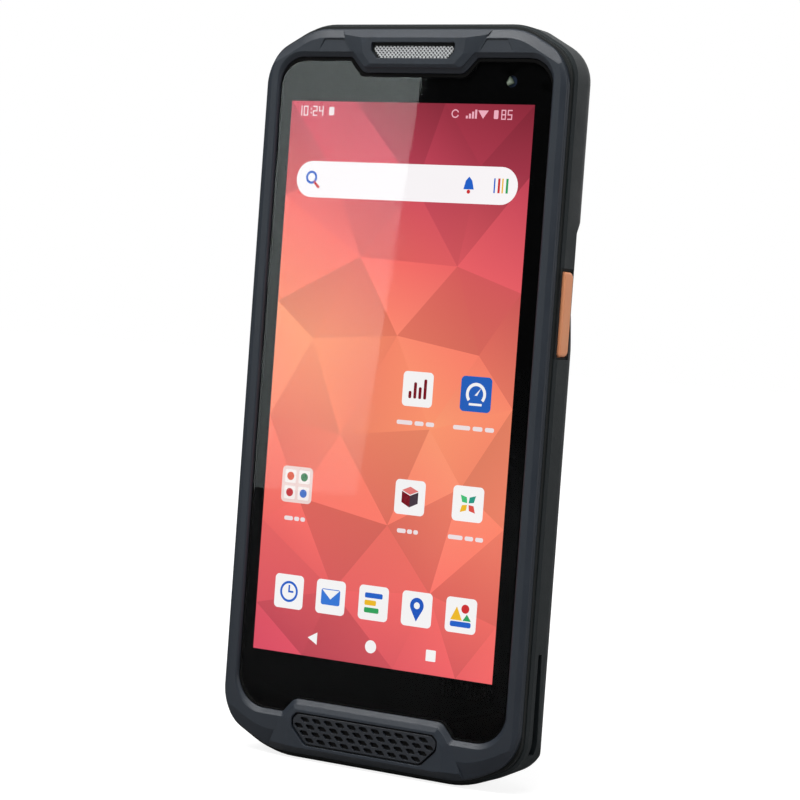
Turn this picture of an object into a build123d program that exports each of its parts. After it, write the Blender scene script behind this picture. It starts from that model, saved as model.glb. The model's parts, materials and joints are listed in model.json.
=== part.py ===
"""Rugged handheld barcode data terminal, standing upright on its base.

Units are millimetres. +Z runs up the terminal, the screen faces -Y, and +X is to the right
of someone who reads the screen. The origin is the centre of the underside.
A depth is counted from the front face of the cover glass towards the back.
"""
from build123d import *
import os
from math import cos, radians, sin, tan

# ---- screen and outline ----
SCREEN_WIDTH = 62.5
SCREEN_HEIGHT = 125.0
SCREEN_SHIFT = -0.8      # the lit area sits a little left of the centreline
CHIN = 23.44             # underside to the lit area's lower edge
FOREHEAD = 17.56         # lit area's upper edge to the top
SIDE_BORDER = 3.85       # half the lit width to the rim's inner edge
RIM_WIDTH = 3.4          # rim's inner edge to the bezel's outer side
HOUSING_STEP = 0.8       # rear housing stands out past the bezel's sides
END_STEP = 1.3           # and past its ends
CORNER_STEP = 1.1        # and past its cut corners
TOP_CORNER = 12.6        # width of an upper cut corner, before rounding
BASE_CORNER = 13.8       # and of a lower one
TOP_TILT = 28.6          # slope of the upper cut corners, in degrees
BASE_TILT = 26.6         # and of the lower ones
TOP_RADIUS = 16.0        # where a cut corner meets the top
BASE_RADIUS = 22.0       # and the underside
SIDE_RADIUS = 9.0        # where a cut corner meets a side

# ---- depths of the casing ----
BODY_DEPTH = 12.6        # cover glass front to the back wall's outer face
BUMP_PROUD = 1.2         # crest of the two speaker bumps in front of the glass
RIM_PROUD = 0.66         # rim in front of the glass
BACK_PROUD = 1.2         # raised back plateau behind the back wall
EDGE_PROUD = 0.28        # bezel's outer edge in front of the glass, along the sides
END_DEPTH = 0.35         # and behind it, at the ends and cut corners
RIM_BEVEL = 1.5          # bevel outside the rim at the sides, seen from the front
END_BEVEL = 2.1          # and at the top
CORNER_BEVEL = 2.2       # and at the upper cut corners
CHIN_BEVEL = 4.6         # and at the underside
CHIN_CORNER_BEVEL = 3.0  # and at the lower cut corners
BUMP_BEVEL = 1.6         # and below the loudspeaker bump
BEVEL_EASE = 0.3         # how far a bevel leans on the sides that it doesn't shape
EDGE_ROUND = 0.6         # rounding of the bezel's outer edge
BEZEL_DEPTH = 1.0        # bezel's outer side ends at this depth
SEAL_WIDTH = 1.1         # visible rubber seal behind the bezel
FRONT_CHAMFER = 0.45     # chamfer along the rear housing's front edge, across
FRONT_CHAMFER_DEPTH = 0.8
BEZEL_SIDE_RADIUS = 11.0 # where the bezel's cut corner meets its side
WALL = 1.6
BACK_WALL = 1.4
SIDE_ROUND = 5.0         # long rear edges and rear edges of the upper corners
REAR_ROUND = 2.2         # rear edges of the ends and lower corners
PLATEAU_INSET = 7.0      # housing edge to the foot of the back plateau
PLATEAU_SLOPE = 1.5      # width of the plateau's sloping edge
HEEL_START = 4.8         # depth where the underside starts to slope up
HEEL_TILT = 8.0          # its slope, in degrees

# ---- opening for the glass ----
OPENING_TOP = 7.65       # top of the body to the opening, at the glass
OPENING_BASE = 10.3      # underside to the opening, at the glass
OPENING_TOP_RADIUS = 6.0
OPENING_BASE_RADIUS = 7.5
WALL_LEAN_SIDE = 0.15    # how far the opening's wall leans out at the sides
WALL_LEAN_BASE = 0.8     # and at the foot
WALL_LEAN_TOP = 0.8      # and at the top
LIP_BEVEL = 0.3          # bevel along the wall's front edge
LIP_BEVEL_DEPTH = 0.2
EAR_BUMP_DROP = 3.5      # earpiece bump reaches this far below the opening's top
EAR_BUMP_HALF = 12.9
EAR_BUMP_SPREAD = 3.2    # how much wider the bump is at the opening's top
EAR_CREST_INSET = 2.2    # crest inside the bump's foot, at its lower corners
EAR_CREST_DROP = 1.1     # bump's foot to its crest, below the mesh
EAR_CREST_SPREAD = 1.1   # how much wider the crest is at the body's top
EAR_FOOT_SPREAD = 7.6    # how much wider the bump's foot is there
CHIN_BUMP_RISE = 3.35    # loudspeaker bump reaches this far above the opening's foot
CHIN_BUMP_HALF = 19.2
CHIN_BUMP_SPREAD = 3.0
CHIN_CREST_DROP = 1.4    # bump's foot to its crest, above the grille
CHIN_CREST_SPREAD = 2.0  # how much wider the crest is at the underside
CHIN_FOOT_SPREAD = 7.4   # how much wider the bump's foot is there
BUMP_RADIUS = 2.4        # the bumps' corners towards the glass
NOTCH_RADIUS = 0.9       # corners where the bumps leave the opening's edge
FACET_START = 16.6       # shallow facet beside the earpiece bump, from the centreline
FACET_WIDTH = 8.4
FACET_HEIGHT = 2.9
FACET_SLANT = 1.6        # how far its ends lean
FACET_TILT = 4.0         # in degrees

# ---- display stack ----
GLASS_THICK = 0.8
GLASS_SIDE_GAP = 0.4     # opening to the glass at the sides and the foot
GLASS_TOP_GAP = 0.95     # and at the top
FILM_THICK = 0.1
TAPE_THICK = 0.2
TAPE_LIP_DROP = 0.15     # tape's lip around the glass, behind the glass's face
PANEL_THICK = 1.2
BACKLIGHT_THICK = 1.5
PANEL_BORDER = 1.3       # panel around the lit area at the top and sides
PANEL_FOOT = 4.0         # and below it
CAMERA_INSET = 14.9      # body's side to the front camera's axis
CAMERA_DROP = 12.6       # top of the body to the front camera's axis

# ---- inside ----
CHASSIS_INSET = 2.9
CHASSIS_THICK = 1.0
BOARD_THICK = 1.0
BOARD_STANDOFF = 1.3
SUB_BOARD_THICK = 0.8
SUB_BOARD_STANDOFF = 0.9
BOARD_INSET = 6.3        # body's side to the main board
POST_INSET = 5.5         # board's side to its standoffs
POST_RADIUS = 1.6
POST_BORE = 0.6
BOARD_HOLE = 0.8
SUB_BOARD_INSET = 15.3   # body's side to the sub board
SUB_BOARD_BASE = 3.2
SUB_BOARD_TOP = 21.5
SCANNER_GAP = 3.2        # main board's top to the scan engine
SHIELD_WALL = 0.3
SHIELD_HEIGHT = 1.6
SHIELD_FOOT = 9.5        # main board's base to the processor shield
SHIELD_HEAD = 5.0        # processor shield to the board's top
SHIELD_LEFT_INSET = 4.5  # board's left side to the processor shield
SHIELD_RIGHT = 5.5
RADIO_INSET = 9.0        # board's sides to the radio shield
RADIO_END_INSET = 6.0    # board's ends to the radio shield
CHIP_THICK = 0.9
CHIP_XS = ((0.05, 0.44), (0.5, 0.76), (0.82, 0.95))      # shares of the shield's width
CHIP_HEIGHTS = ((0.08, 0.74), (0.4, 0.9), (0.55, 0.85))  # and of its height
CARD_XS = (-8.0, 7.0)
CARD_THICK = 1.4
CARD_REACH = 8.5         # card socket past the main board's base
CONTACT_INSET = 4.4      # bay's side to the battery contacts
CONTACT_WIDTH = 11.0
CONTACT_THICK = 2.2
CONTACT_REACH = 1.0      # contact block past the main board's base
BLADE_WIDTH = 1.2
BLADE_PITCH = 2.5
BLADE_COUNT = 4
FLEX_THICK = 0.2
FLEX_HALF = 10.0         # display ribbon
LINK_FLEX_WIDTH = 1.8
MOTOR_GAP = 0.3          # dock contacts to the motor
MOTOR_DROP = 9.0         # sub board's top to the motor's middle
MOTOR_RADIUS = 4.0
MOTOR_THICK = 2.7
MIC_X = 12.0
MIC_WIDTH = 3.8
MIC_HEIGHT = 4.0
MIC_THICK = 1.1
MIC_RISE = 0.6           # wall to the microphone, clear of the sloping underside
CHASSIS_WINDOWS = 3      # openings in the chassis behind the battery bay
CHASSIS_WINDOW_HALF = 18.0
CHASSIS_BRIDGE = 12.0    # metal left between two of them

# ---- battery ----
BAY_BASE = 24.4
BAY_HEIGHT = 84.0
BAY_INSET = 10.9         # body's side to the bay
BAY_WALL = 1.2
BAY_FLOOR = 1.0
BATTERY_GAP = 0.4        # battery to the bay's side and end walls
BATTERY_AIR = 0.6        # battery to the door
DOOR_OVERLAP = 1.4       # door past the bay at the sides
DOOR_END_OVERLAP = 3.6   # and at the ends
DOOR_THICK = 1.7
DOOR_RADIUS = 3.0
DOOR_GAP = 0.15
SEAL_RING = 1.0
LATCH_TRAVEL = 2.5
LATCH_HALF = 7.8
LATCH_LENGTH = 6.0
LATCH_THICK = 0.8
BOLT_HALF = 4.0
BOLT_THICK = 0.4
BOLT_LENGTH = 2.6
RIB_COUNT = 4            # grooves across the latch
RIB_PITCH = 1.2
RIB_WIDTH = 0.5
COIL_SIDE_GAP = 5.4      # bay's sides to the aerial coil
COIL_END_GAP = 12.0      # bay's ends to the aerial coil
COIL_WIDTH = 5.0
COIL_THICK = 0.25

# ---- keys ----
KEY_PROUD = 0.35         # key face past the housing's side
KEY_TRAVEL = 0.5
KEY_GAP = 0.15
KEY_FRAME = 0.5          # rubber frame around each key
KEY_FRAME_DROP = 0.3     # frame below the housing's side
KEY_EDGE = 0.5
KEY_CORNER = 1.5
KEY_FRONT_CORNER = 0.6
KEY_FLANGE = 0.7
KEY_EAR = 0.9
KEY_FRONT = 3.1          # depths of the key cap's front and back edges
SCAN_KEY_BACK = 7.1
SMALL_KEY_BACK = 6.7
SCAN_KEY_LENGTH = 18.2
SCAN_KEY_DROP = 71.0     # top of the body to the key's lower end
VOLUME_KEY_LENGTH = 8.0
VOLUME_DOWN_DROP = 47.6
VOLUME_UP_DROP = 36.6
POWER_KEY_LENGTH = 8.6
POWER_KEY_DROP = 25.2
PLUNGER_RADIUS = 0.9
SWITCH_BOARD_THICK = 0.5
SWITCH_DEPTH = 6.3       # depth of the plungers' axis
SWITCH_HALF = 1.9
SWITCH_BACK = 8.4
BRACKET_INSET = 4.3      # housing's inner side to the key brackets
BRACKET_THICK = 0.6
KEY_SEAL_THICK = 0.4
SCOOP_DEPTH = 0.75       # finger scoop on the long rear edges, beside the scan keys
SCOOP_BELOW = 10.0       # key's middle to the scoop's lower end
SCOOP_ABOVE = 21.0       # and to its upper end
SCOOP_TURN = 58.0        # way that the scoop faces, in degrees from straight back

# ---- loudspeaker, earpiece, scanner, cameras ----
GRILLE_HALF = 19.0
GRILLE_BASE = 3.6
GRILLE_TOP = 10.85
GRILLE_CHAMFER = 3.8
GRILLE_CORNER = 1.2
GRILLE_CHAMFER_RADIUS = 2.0
GRILLE_CORNER_RADIUS = 1.2
GRILLE_GROOVE = 0.35     # groove around the insert
GRILLE_THICK = 0.6
GRILLE_RECESS = 0.15
SPEAKER_MESH_THICK = 0.2
SLOT_PITCH = 3.09
SLOT_ROW_PITCH = 1.5
SLOT_WIDTH = 2.5
SLOT_HEIGHT = 1.05
SLOT_POINT = 0.5         # length of a slot's pointed ends
SLOT_SLANT = 0.25        # how far its upper and lower edges are offset
SLOT_COUNTS = (10, 11, 12, 11)
FIRST_SLOT_ROW = 4.9
SPEAKER_HALF = 15.0
SPEAKER_DEPTH = 4.5
SPEAKER_AIR = 0.8        # dust cloth to the loudspeaker
EAR_HALF = 10.7          # seat of the earpiece mesh
EAR_HEIGHT = 3.5
EAR_TOP_DROP = 4.5
EAR_SLANT = 1.4          # cut off the seat's lower corners, across
EAR_SLANT_HEIGHT = 1.7
EAR_RADIUS = 0.4
EAR_MESH_THICK = 0.3
EAR_MESH_RECESS = 0.65
EAR_GASKET_SIDE = 0.6    # gasket around the mesh at the sides
EAR_GASKET_BASE = 0.12   # and below it
EAR_GASKET_TOP = 0.75    # and above it
EAR_GASKET_DROP = 0.1    # gasket behind the mesh's face
RECEIVER_AIR = 1.2       # mesh to the receiver
RECEIVER_HALF = 7.5
RECEIVER_HEIGHT = 4.6
SCANNER_HALF = 10.5
SCANNER_HEIGHT = 13.0
SCANNER_BACK = 10.6
WINDOW_HALF = 12.5
WINDOW_FRONT = 4.4
WINDOW_BACK = 10.0
WINDOW_THICK = 1.1
REAR_CAMERA_X = 18.0
REAR_CAMERA_DROP = 7.0   # main board's top to the camera's axis
REAR_CAMERA_SIZE = 8.5
CAMERA_WINDOW_RADIUS = 5.0
CAMERA_WINDOW_THICK = 0.8
FLASH_OFFSET = 9.5       # camera's axis to the flash, towards the centreline
FLASH_RADIUS = 2.3
FLASH_LED_HALF = 1.5
WIFI_XS = (-23.5, -12.5)
WIFI_DROPS = (15.0, 9.0) # top of the body to the aerial's ends
CELL_HALF = 20.0
CELL_HEIGHTS = (4.0, 9.0)
ANTENNA_THICK = 0.2

# ---- strap slots, connectors, fasteners ----
STRAP_SLOT = 1.5         # slot's width at its upper end
STRAP_SLOT_FOOT = 2.6    # and at its lower end
STRAP_SLOT_BASE = 8.7
STRAP_SLOT_LENGTH = 22.0
STRAP_SLOT_DEPTH = 4.4
STRAP_BAR = 3.2
STRAP_WALL = 1.4
USB_HALF = 4.5
USB_THICK = 3.2
USB_LENGTH = 7.3
DOCK_PITCH = 3.6
DOCK_COUNT = 6
DOCK_HEIGHT = 13.5
DOCK_HEAD_RADIUS = 1.2
DOCK_PIN_RADIUS = 0.7
SCREW_RADIUS = 0.9
SCREW_HEAD_RADIUS = 1.75
SCREW_HEAD_THICK = 1.0
SCREW_GAP = 0.15
BOSS_RADIUS = 2.3
SCREW_HEAD_SINK = 0.5    # screw heads below the back wall
SIDE_SCREW_INSET = 4.5   # body's side to the screws
SIDE_SCREW_HEIGHTS = (46.0, 78.0)
BASE_SCREW_INSET = 12.1
BASE_SCREW_HEIGHT = 9.2
TOP_SCREW_INSET = 12.8
TOP_SCREW_DROP = 7.6
GRIP_HOLE_RADIUS = 1.05
GRIP_HOLE_SPACING = 44.0
GRIP_HOLE_DEPTH = 4.0
GRIP_INSERT_RADIUS = 1.9
GRIP_BOSS_WALL = 1.2
GRIP_RISE = 5.0          # battery door's top to the grip holes
FIT = 0.1                # clearance where one piece sits in another
SMALL_FILLET = 0.3

# ---- sizes that follow ----
LENGTH = CHIN + SCREEN_HEIGHT + FOREHEAD
RIM_HALF = SCREEN_WIDTH / 2 + SIDE_BORDER
BEZEL_HALF = RIM_HALF + RIM_WIDTH
BODY_HALF = BEZEL_HALF + HOUSING_STEP
TOP_FLAT_HALF = BODY_HALF - TOP_CORNER
BASE_FLAT_HALF = BODY_HALF - BASE_CORNER
GLASS_Y = BUMP_PROUD - (BUMP_PROUD + BODY_DEPTH + BACK_PROUD) / 2
SEAL_BACK = BEZEL_DEPTH + SEAL_WIDTH
PLATEAU_DEPTH = BODY_DEPTH + BACK_PROUD
BACK_WALL_INNER = BODY_DEPTH - BACK_WALL
FILM_BACK = GLASS_THICK + FILM_THICK
LEDGE = FILM_BACK + TAPE_THICK
PANEL_BACK = FILM_BACK + PANEL_THICK
BACKLIGHT_BACK = PANEL_BACK + BACKLIGHT_THICK
CHASSIS_FRONT = BACKLIGHT_BACK + FIT
CHASSIS_BACK = CHASSIS_FRONT + CHASSIS_THICK
BOARD_FRONT = CHASSIS_BACK + BOARD_STANDOFF
BOARD_BACK = BOARD_FRONT + BOARD_THICK
SUB_BOARD_FRONT = CHASSIS_BACK + SUB_BOARD_STANDOFF
SUB_BOARD_BACK = SUB_BOARD_FRONT + SUB_BOARD_THICK
BAY_TOP = BAY_BASE + BAY_HEIGHT
BAY_HALF = BODY_HALF - BAY_INSET
BAY_FLOOR_FRONT = CHASSIS_BACK + FIT
BAY_FLOOR_BACK = BAY_FLOOR_FRONT + BAY_FLOOR
BATTERY_FRONT = BAY_FLOOR_BACK + FIT
DOOR_FRONT = PLATEAU_DEPTH - DOOR_THICK
BATTERY_BACK = DOOR_FRONT - BATTERY_AIR
DOOR_HALF = BAY_HALF + DOOR_OVERLAP
DOOR_BASE = BAY_BASE - DOOR_END_OVERLAP
DOOR_TOP = BAY_TOP + DOOR_END_OVERLAP
GRIP_HEIGHT = DOOR_TOP + GRIP_RISE
LATCH_FRONT = PLATEAU_DEPTH - LATCH_THICK - FIT
LATCH_BACK = PLATEAU_DEPTH - FIT
BOLT_FRONT = LATCH_FRONT
BOLT_BACK = LATCH_FRONT + BOLT_THICK
SCREW_SEAT = BODY_DEPTH - SCREW_HEAD_THICK - SCREW_HEAD_SINK
KEY_FACE = BODY_HALF + KEY_PROUD
SCAN_KEY_BASE = LENGTH - SCAN_KEY_DROP
VOLUME_DOWN_BASE = LENGTH - VOLUME_DOWN_DROP
VOLUME_UP_BASE = LENGTH - VOLUME_UP_DROP
POWER_KEY_BASE = LENGTH - POWER_KEY_DROP
INNER_SIDE = BODY_HALF - WALL
BRACKET_XS = (INNER_SIDE - BRACKET_INSET, INNER_SIDE - BRACKET_INSET + BRACKET_THICK)
SCANNER_TOP = LENGTH - WALL - WINDOW_THICK - FIT
SCANNER_BASE = SCANNER_TOP - SCANNER_HEIGHT
BOARD_HALF = BODY_HALF - BOARD_INSET
POST_X = BOARD_HALF - POST_INSET
MAIN_BOARD_BASE = DOOR_TOP
MAIN_BOARD_TOP = SCANNER_BASE - SCANNER_GAP
SUB_BOARD_HALF = BODY_HALF - SUB_BOARD_INSET
SHIELD_XS = (SHIELD_LEFT_INSET - BOARD_HALF, SHIELD_RIGHT)
SHIELD_HEIGHTS = (MAIN_BOARD_BASE + SHIELD_FOOT, MAIN_BOARD_TOP - SHIELD_HEAD)
CONTACT_XS = (BAY_HALF - CONTACT_INSET - CONTACT_WIDTH, BAY_HALF - CONTACT_INSET)
CONTACT_BACK = BOARD_BACK + CONTACT_THICK
CAMERA_X = BODY_HALF - CAMERA_INSET
CAMERA_HEIGHT = LENGTH - CAMERA_DROP
REAR_CAMERA_HEIGHT = MAIN_BOARD_TOP - REAR_CAMERA_DROP
CAMERA_WINDOW_FRONT = PLATEAU_DEPTH - CAMERA_WINDOW_THICK - FIT
FLASH_X = REAR_CAMERA_X - FLASH_OFFSET
SIDE_SCREW_X = BODY_HALF - SIDE_SCREW_INSET
BASE_SCREW_X = BODY_HALF - BASE_SCREW_INSET
TOP_SCREW_X = BODY_HALF - TOP_SCREW_INSET
GRILLE_FRONT = GRILLE_RECESS - BUMP_PROUD
GRILLE_BACK = GRILLE_FRONT + GRILLE_THICK
SPEAKER_MESH_BACK = GRILLE_BACK + SPEAKER_MESH_THICK
SPEAKER_FRONT = SPEAKER_MESH_BACK + SPEAKER_AIR
SPEAKER_BACK = SPEAKER_FRONT + SPEAKER_DEPTH
SPEAKER_HEIGHTS = (GRILLE_BASE + 0.6, GRILLE_TOP - 0.3)
EAR_TOP = LENGTH - EAR_TOP_DROP
EAR_BASE = EAR_TOP - EAR_HEIGHT
EAR_MESH_FRONT = EAR_MESH_RECESS - BUMP_PROUD
EAR_MESH_BACK = EAR_MESH_FRONT + EAR_MESH_THICK
RECEIVER_FRONT = EAR_MESH_BACK + RECEIVER_AIR
RIM_FOOT = OPENING_BASE - WALL_LEAN_BASE            # opening's foot and top at the rim
RIM_HEAD = LENGTH - OPENING_TOP + WALL_LEAN_TOP


# ---- helpers ----
def rounded(corners):
    """Closed face whose corners are given as (x, y, radius)."""
    count = len(corners)
    turns = []
    for index, (x, y, radius) in enumerate(corners):
        here = Vector(x, y)
        before = (Vector(*corners[index - 1][:2]) - here).normalized()
        after = (Vector(*corners[(index + 1) % count][:2]) - here).normalized()
        half_angle = radians(before.get_angle(after)) / 2
        reach = radius / tan(half_angle)
        middle = (before + after).normalized() * (radius / sin(half_angle) - radius)
        turns.append((here + before * reach, here + middle, here + after * reach))
    edges = []
    for index, (start, middle, end) in enumerate(turns):
        if corners[index][2] > 0:
            edges.append(ThreePointArc(start, middle, end))
        edges.append(Line(end, turns[(index + 1) % count][0]))
    return make_face(edges)


def symmetric(right_corners):
    """Full list of corners from those of the right half, listed from the base up."""
    return right_corners + [(-x, z, radius) for x, z, radius in reversed(right_corners)]


def level(sketch, depth):
    """Stand a sketch upright at a depth."""
    return Plane(origin=(0, GLASS_Y + depth, 0), x_dir=(1, 0, 0), z_dir=(0, -1, 0)) * sketch


def slab(sketch, front, back):
    """Extrude an upright sketch from one depth to another."""
    return extrude(level(sketch, back), amount=back - front)


def block(xs, depths, heights):
    """Box between two values of x, depth and height."""
    size = [high - low for low, high in (xs, depths, heights)]
    middle = [(high + low) / 2 for low, high in (xs, depths, heights)]
    return Pos(middle[0], GLASS_Y + middle[1], middle[2]) * Box(*size)


def round_block(xs, depths, heights, radius):
    """Box between two values of x, depth and height, with rounded upright corners."""
    width = xs[1] - xs[0]
    height = heights[1] - heights[0]
    centre = Pos((xs[0] + xs[1]) / 2, (heights[0] + heights[1]) / 2)
    return slab(centre * RectangleRounded(width, height, radius), *depths)


def rod(x, z, radius, front, back):
    """Round rod that runs from front to back."""
    return slab(Pos(x, z) * Circle(radius), front, back)


def both_sides(solid):
    """A right-hand solid and its mirror image."""
    return [solid, mirror(solid, about=Plane.YZ)]


def cut(solid, tools):
    """Solid with every tool removed."""
    for tool in tools:
        solid = solid - tool
    return solid


def joined(solids):
    """All solids fused into one."""
    whole = solids[0]
    for solid in solids[1:]:
        whole = whole + solid
    return whole


def edges_at(solid, depth):
    """Edges that lie at one depth."""
    near = GLASS_Y + depth - 0.01
    far = GLASS_Y + depth + 0.01
    return solid.edges().filter_by_position(Axis.Y, near, far)


def corner_run(tilt, end_inset, corner_inset):
    """How far an end's straight part grows when the end and its cut corner move in."""
    return (end_inset * cos(radians(tilt)) - corner_inset) / sin(radians(tilt))


def corner_foot(tilt, run):
    """Height of a cut corner of a given slope and width."""
    return run * tan(radians(tilt))


def outline(side_inset, base_insets, top_insets, side_radius):
    """Body outline, moved in by its own amount at the sides, each end and its cut corners."""
    half = BODY_HALF - side_inset
    base_inset = base_insets[0]
    top_inset = top_insets[0]
    top = LENGTH - top_inset
    flat_top = TOP_FLAT_HALF + corner_run(TOP_TILT, *top_insets)
    flat_base = BASE_FLAT_HALF + corner_run(BASE_TILT, *base_insets)
    return rounded(symmetric([
        (flat_base, base_inset, BASE_RADIUS - base_inset),
        (half, base_inset + corner_foot(BASE_TILT, half - flat_base), side_radius),
        (half, top - corner_foot(TOP_TILT, half - flat_top), side_radius),
        (flat_top, top, TOP_RADIUS - top_inset),
    ]))


def even_outline(inset):
    """Body outline moved in by one amount all round."""
    return outline(inset, (inset, inset), (inset, inset), max(SIDE_RADIUS - inset, 1))


def bezel_outline(side_inset, base_insets, top_insets):
    """Outline of the bezel, moved in by its own amount at the sides, ends and cut corners."""
    base = (END_STEP + base_insets[0], CORNER_STEP + base_insets[1])
    top = (END_STEP + top_insets[0], CORNER_STEP + top_insets[1])
    return outline(HOUSING_STEP + side_inset, base, top, BEZEL_SIDE_RADIUS - max(side_inset, 0))


def opening(side_grow, base_grow, top_grow):
    """Outline of the glass opening with the two bumps' notches."""
    half = RIM_HALF - WALL_LEAN_SIDE + side_grow
    base = OPENING_BASE - base_grow
    top = LENGTH - OPENING_TOP + top_grow
    chin_half = CHIN_BUMP_HALF - base_grow * tan(radians(22.5))
    ear_half = EAR_BUMP_HALF - top_grow * tan(radians(22.5))
    return rounded([
        (chin_half, base + CHIN_BUMP_RISE, BUMP_RADIUS),
        (chin_half + CHIN_BUMP_SPREAD, base, NOTCH_RADIUS),
        (half, base, OPENING_BASE_RADIUS),
        (half, top, OPENING_TOP_RADIUS),
        (ear_half + EAR_BUMP_SPREAD, top, NOTCH_RADIUS),
        (ear_half, top - EAR_BUMP_DROP, BUMP_RADIUS),
        (-ear_half, top - EAR_BUMP_DROP, BUMP_RADIUS),
        (-ear_half - EAR_BUMP_SPREAD, top, NOTCH_RADIUS),
        (-half, top, OPENING_TOP_RADIUS),
        (-half, base, OPENING_BASE_RADIUS),
        (-chin_half - CHIN_BUMP_SPREAD, base, NOTCH_RADIUS),
        (-chin_half, base + CHIN_BUMP_RISE, BUMP_RADIUS),
    ])


def even_opening(grow):
    """Outline of the glass opening grown by one amount all round."""
    return opening(grow, grow, grow)


def panel_span(grow):
    """Left, right, lower and upper limits of the display panel, grown by a clearance."""
    half = SCREEN_WIDTH / 2 + PANEL_BORDER + grow
    low = CHIN - PANEL_FOOT - grow
    high = CHIN + SCREEN_HEIGHT + PANEL_BORDER + grow
    return (SCREEN_SHIFT - half, SCREEN_SHIFT + half), (low, high)


def screw_places():
    """Centres of the housing screws, as (x, z)."""
    right = [(SIDE_SCREW_X, height) for height in SIDE_SCREW_HEIGHTS]
    right.append((BASE_SCREW_X, BASE_SCREW_HEIGHT))
    right.append((TOP_SCREW_X, LENGTH - TOP_SCREW_DROP))
    return right + [(-x, z) for x, z in right]


# ---- front bezel ----
def sloped_form(low, high, depth, proud):
    """Form that stands on one outline at a depth and slopes in to another."""
    form = slab(low, depth, BEZEL_DEPTH)
    form = form + loft([level(low, depth), level(high, -proud)], ruled=True)
    return fillet(edges_at(form, depth), EDGE_ROUND)


def bezel_envelope(proud, chin_bevel):
    """Form with bevelled sides and ends that reaches one height in front of the glass."""
    flush = (0, 0)
    ease = (BEVEL_EASE, BEVEL_EASE)
    sides = sloped_form(bezel_outline(0, flush, flush), bezel_outline(RIM_BEVEL, ease, ease),
                        -EDGE_PROUD, proud)
    crest = bezel_outline(BEVEL_EASE - RIM_WIDTH, (chin_bevel, CHIN_CORNER_BEVEL),
                          (END_BEVEL, CORNER_BEVEL))
    ends = sloped_form(bezel_outline(-RIM_WIDTH, flush, flush), crest, END_DEPTH, proud)
    return sides & ends


def hipped_bump(foot_corners, crest_corners):
    """Raised bump with sloping flanks above the rim."""
    foot = rounded(symmetric(foot_corners))
    crest = rounded(symmetric(crest_corners))
    hip = loft([level(foot, -RIM_PROUD), level(crest, -BUMP_PROUD)], ruled=True)
    return hip + slab(foot, -RIM_PROUD, BEZEL_DEPTH)


def ear_bump():
    """Facetted bump around the earpiece."""
    beyond = LENGTH + 1
    foot = [(EAR_BUMP_HALF, RIM_HEAD - EAR_BUMP_DROP, 0),
            (EAR_BUMP_HALF + EAR_BUMP_SPREAD, RIM_HEAD, 0),
            (EAR_BUMP_HALF + EAR_FOOT_SPREAD, beyond, 0)]
    crest = [(EAR_BUMP_HALF - EAR_CREST_INSET, RIM_HEAD - EAR_BUMP_DROP + EAR_CREST_DROP, 0),
             (EAR_BUMP_HALF, RIM_HEAD, 0),
             (EAR_BUMP_HALF + EAR_CREST_SPREAD, beyond, 0)]
    return hipped_bump(foot, crest)


def chin_bump():
    """Facetted bump around the loudspeaker grille."""
    beyond = -1
    foot = [(CHIN_BUMP_HALF + CHIN_FOOT_SPREAD, beyond, 0),
            (CHIN_BUMP_HALF + CHIN_BUMP_SPREAD, RIM_FOOT, 0),
            (CHIN_BUMP_HALF, RIM_FOOT + CHIN_BUMP_RISE, 0)]
    crest = [(CHIN_BUMP_HALF + CHIN_CREST_SPREAD, beyond, 0),
             (CHIN_BUMP_HALF + 0.6, RIM_FOOT - 0.6, 0),
             (CHIN_BUMP_HALF - 1.0, RIM_FOOT + CHIN_BUMP_RISE - CHIN_CREST_DROP, 0)]
    return hipped_bump(foot, crest)


def side_facet():
    """Cutter for the shallow facet at the right of the earpiece bump."""
    tilt = radians(FACET_TILT)
    plane = Plane(origin=(0, GLASS_Y - RIM_PROUD, RIM_HEAD + LIP_BEVEL), x_dir=(1, 0, 0),
                  z_dir=(0, -cos(tilt), sin(tilt)))
    face = make_face(Polyline((FACET_START, 0), (FACET_START + FACET_WIDTH, 0),
                              (FACET_START + FACET_WIDTH - FACET_SLANT, FACET_HEIGHT),
                              (FACET_START + FACET_SLANT, FACET_HEIGHT), close=True))
    return extrude(plane * face, amount=1)


def glass_outline(grow):
    """Outline of the cover glass inside the opening, grown by an amount."""
    return opening(grow - GLASS_SIDE_GAP, grow - GLASS_SIDE_GAP, grow - GLASS_TOP_GAP)


def glass_cutter():
    """Space in front of and around the glass, down to the ledge."""
    foot = even_opening(0)
    wall = opening(WALL_LEAN_SIDE, WALL_LEAN_BASE, WALL_LEAN_TOP)
    lip = opening(WALL_LEAN_SIDE + LIP_BEVEL, WALL_LEAN_BASE + LIP_BEVEL, WALL_LEAN_TOP + LIP_BEVEL)
    bevel_foot = LIP_BEVEL_DEPTH - RIM_PROUD
    leaning = loft([level(foot, 0), level(wall, bevel_foot)], ruled=True)
    bevel = loft([level(wall, bevel_foot), level(lip, -RIM_PROUD)], ruled=True)
    return joined([leaning, bevel, slab(foot, 0, LEDGE), slab(lip, -BUMP_PROUD - 1, -RIM_PROUD)])


def grille_outline(grow):
    """Outline of the loudspeaker grille insert."""
    half = GRILLE_HALF + grow
    base = GRILLE_BASE - grow
    top = GRILLE_TOP + grow
    return rounded(symmetric([
        (half - GRILLE_CHAMFER, base, GRILLE_CHAMFER_RADIUS),
        (half, base + GRILLE_CHAMFER, GRILLE_CHAMFER_RADIUS),
        (half, top - GRILLE_CORNER, GRILLE_CORNER_RADIUS),
        (half - GRILLE_CORNER, top, GRILLE_CORNER_RADIUS),
    ]))


def ear_outline(side_gap, base_gap, top_gap):
    """Outline of the earpiece seat, moved in by its own amount at the sides, base and top."""
    half = EAR_HALF - side_gap
    base = EAR_BASE + base_gap
    return rounded(symmetric([
        (half - EAR_SLANT, base, EAR_RADIUS),
        (half, base + EAR_SLANT_HEIGHT, EAR_RADIUS),
        (half, EAR_TOP - top_gap, EAR_RADIUS),
    ]))


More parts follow.
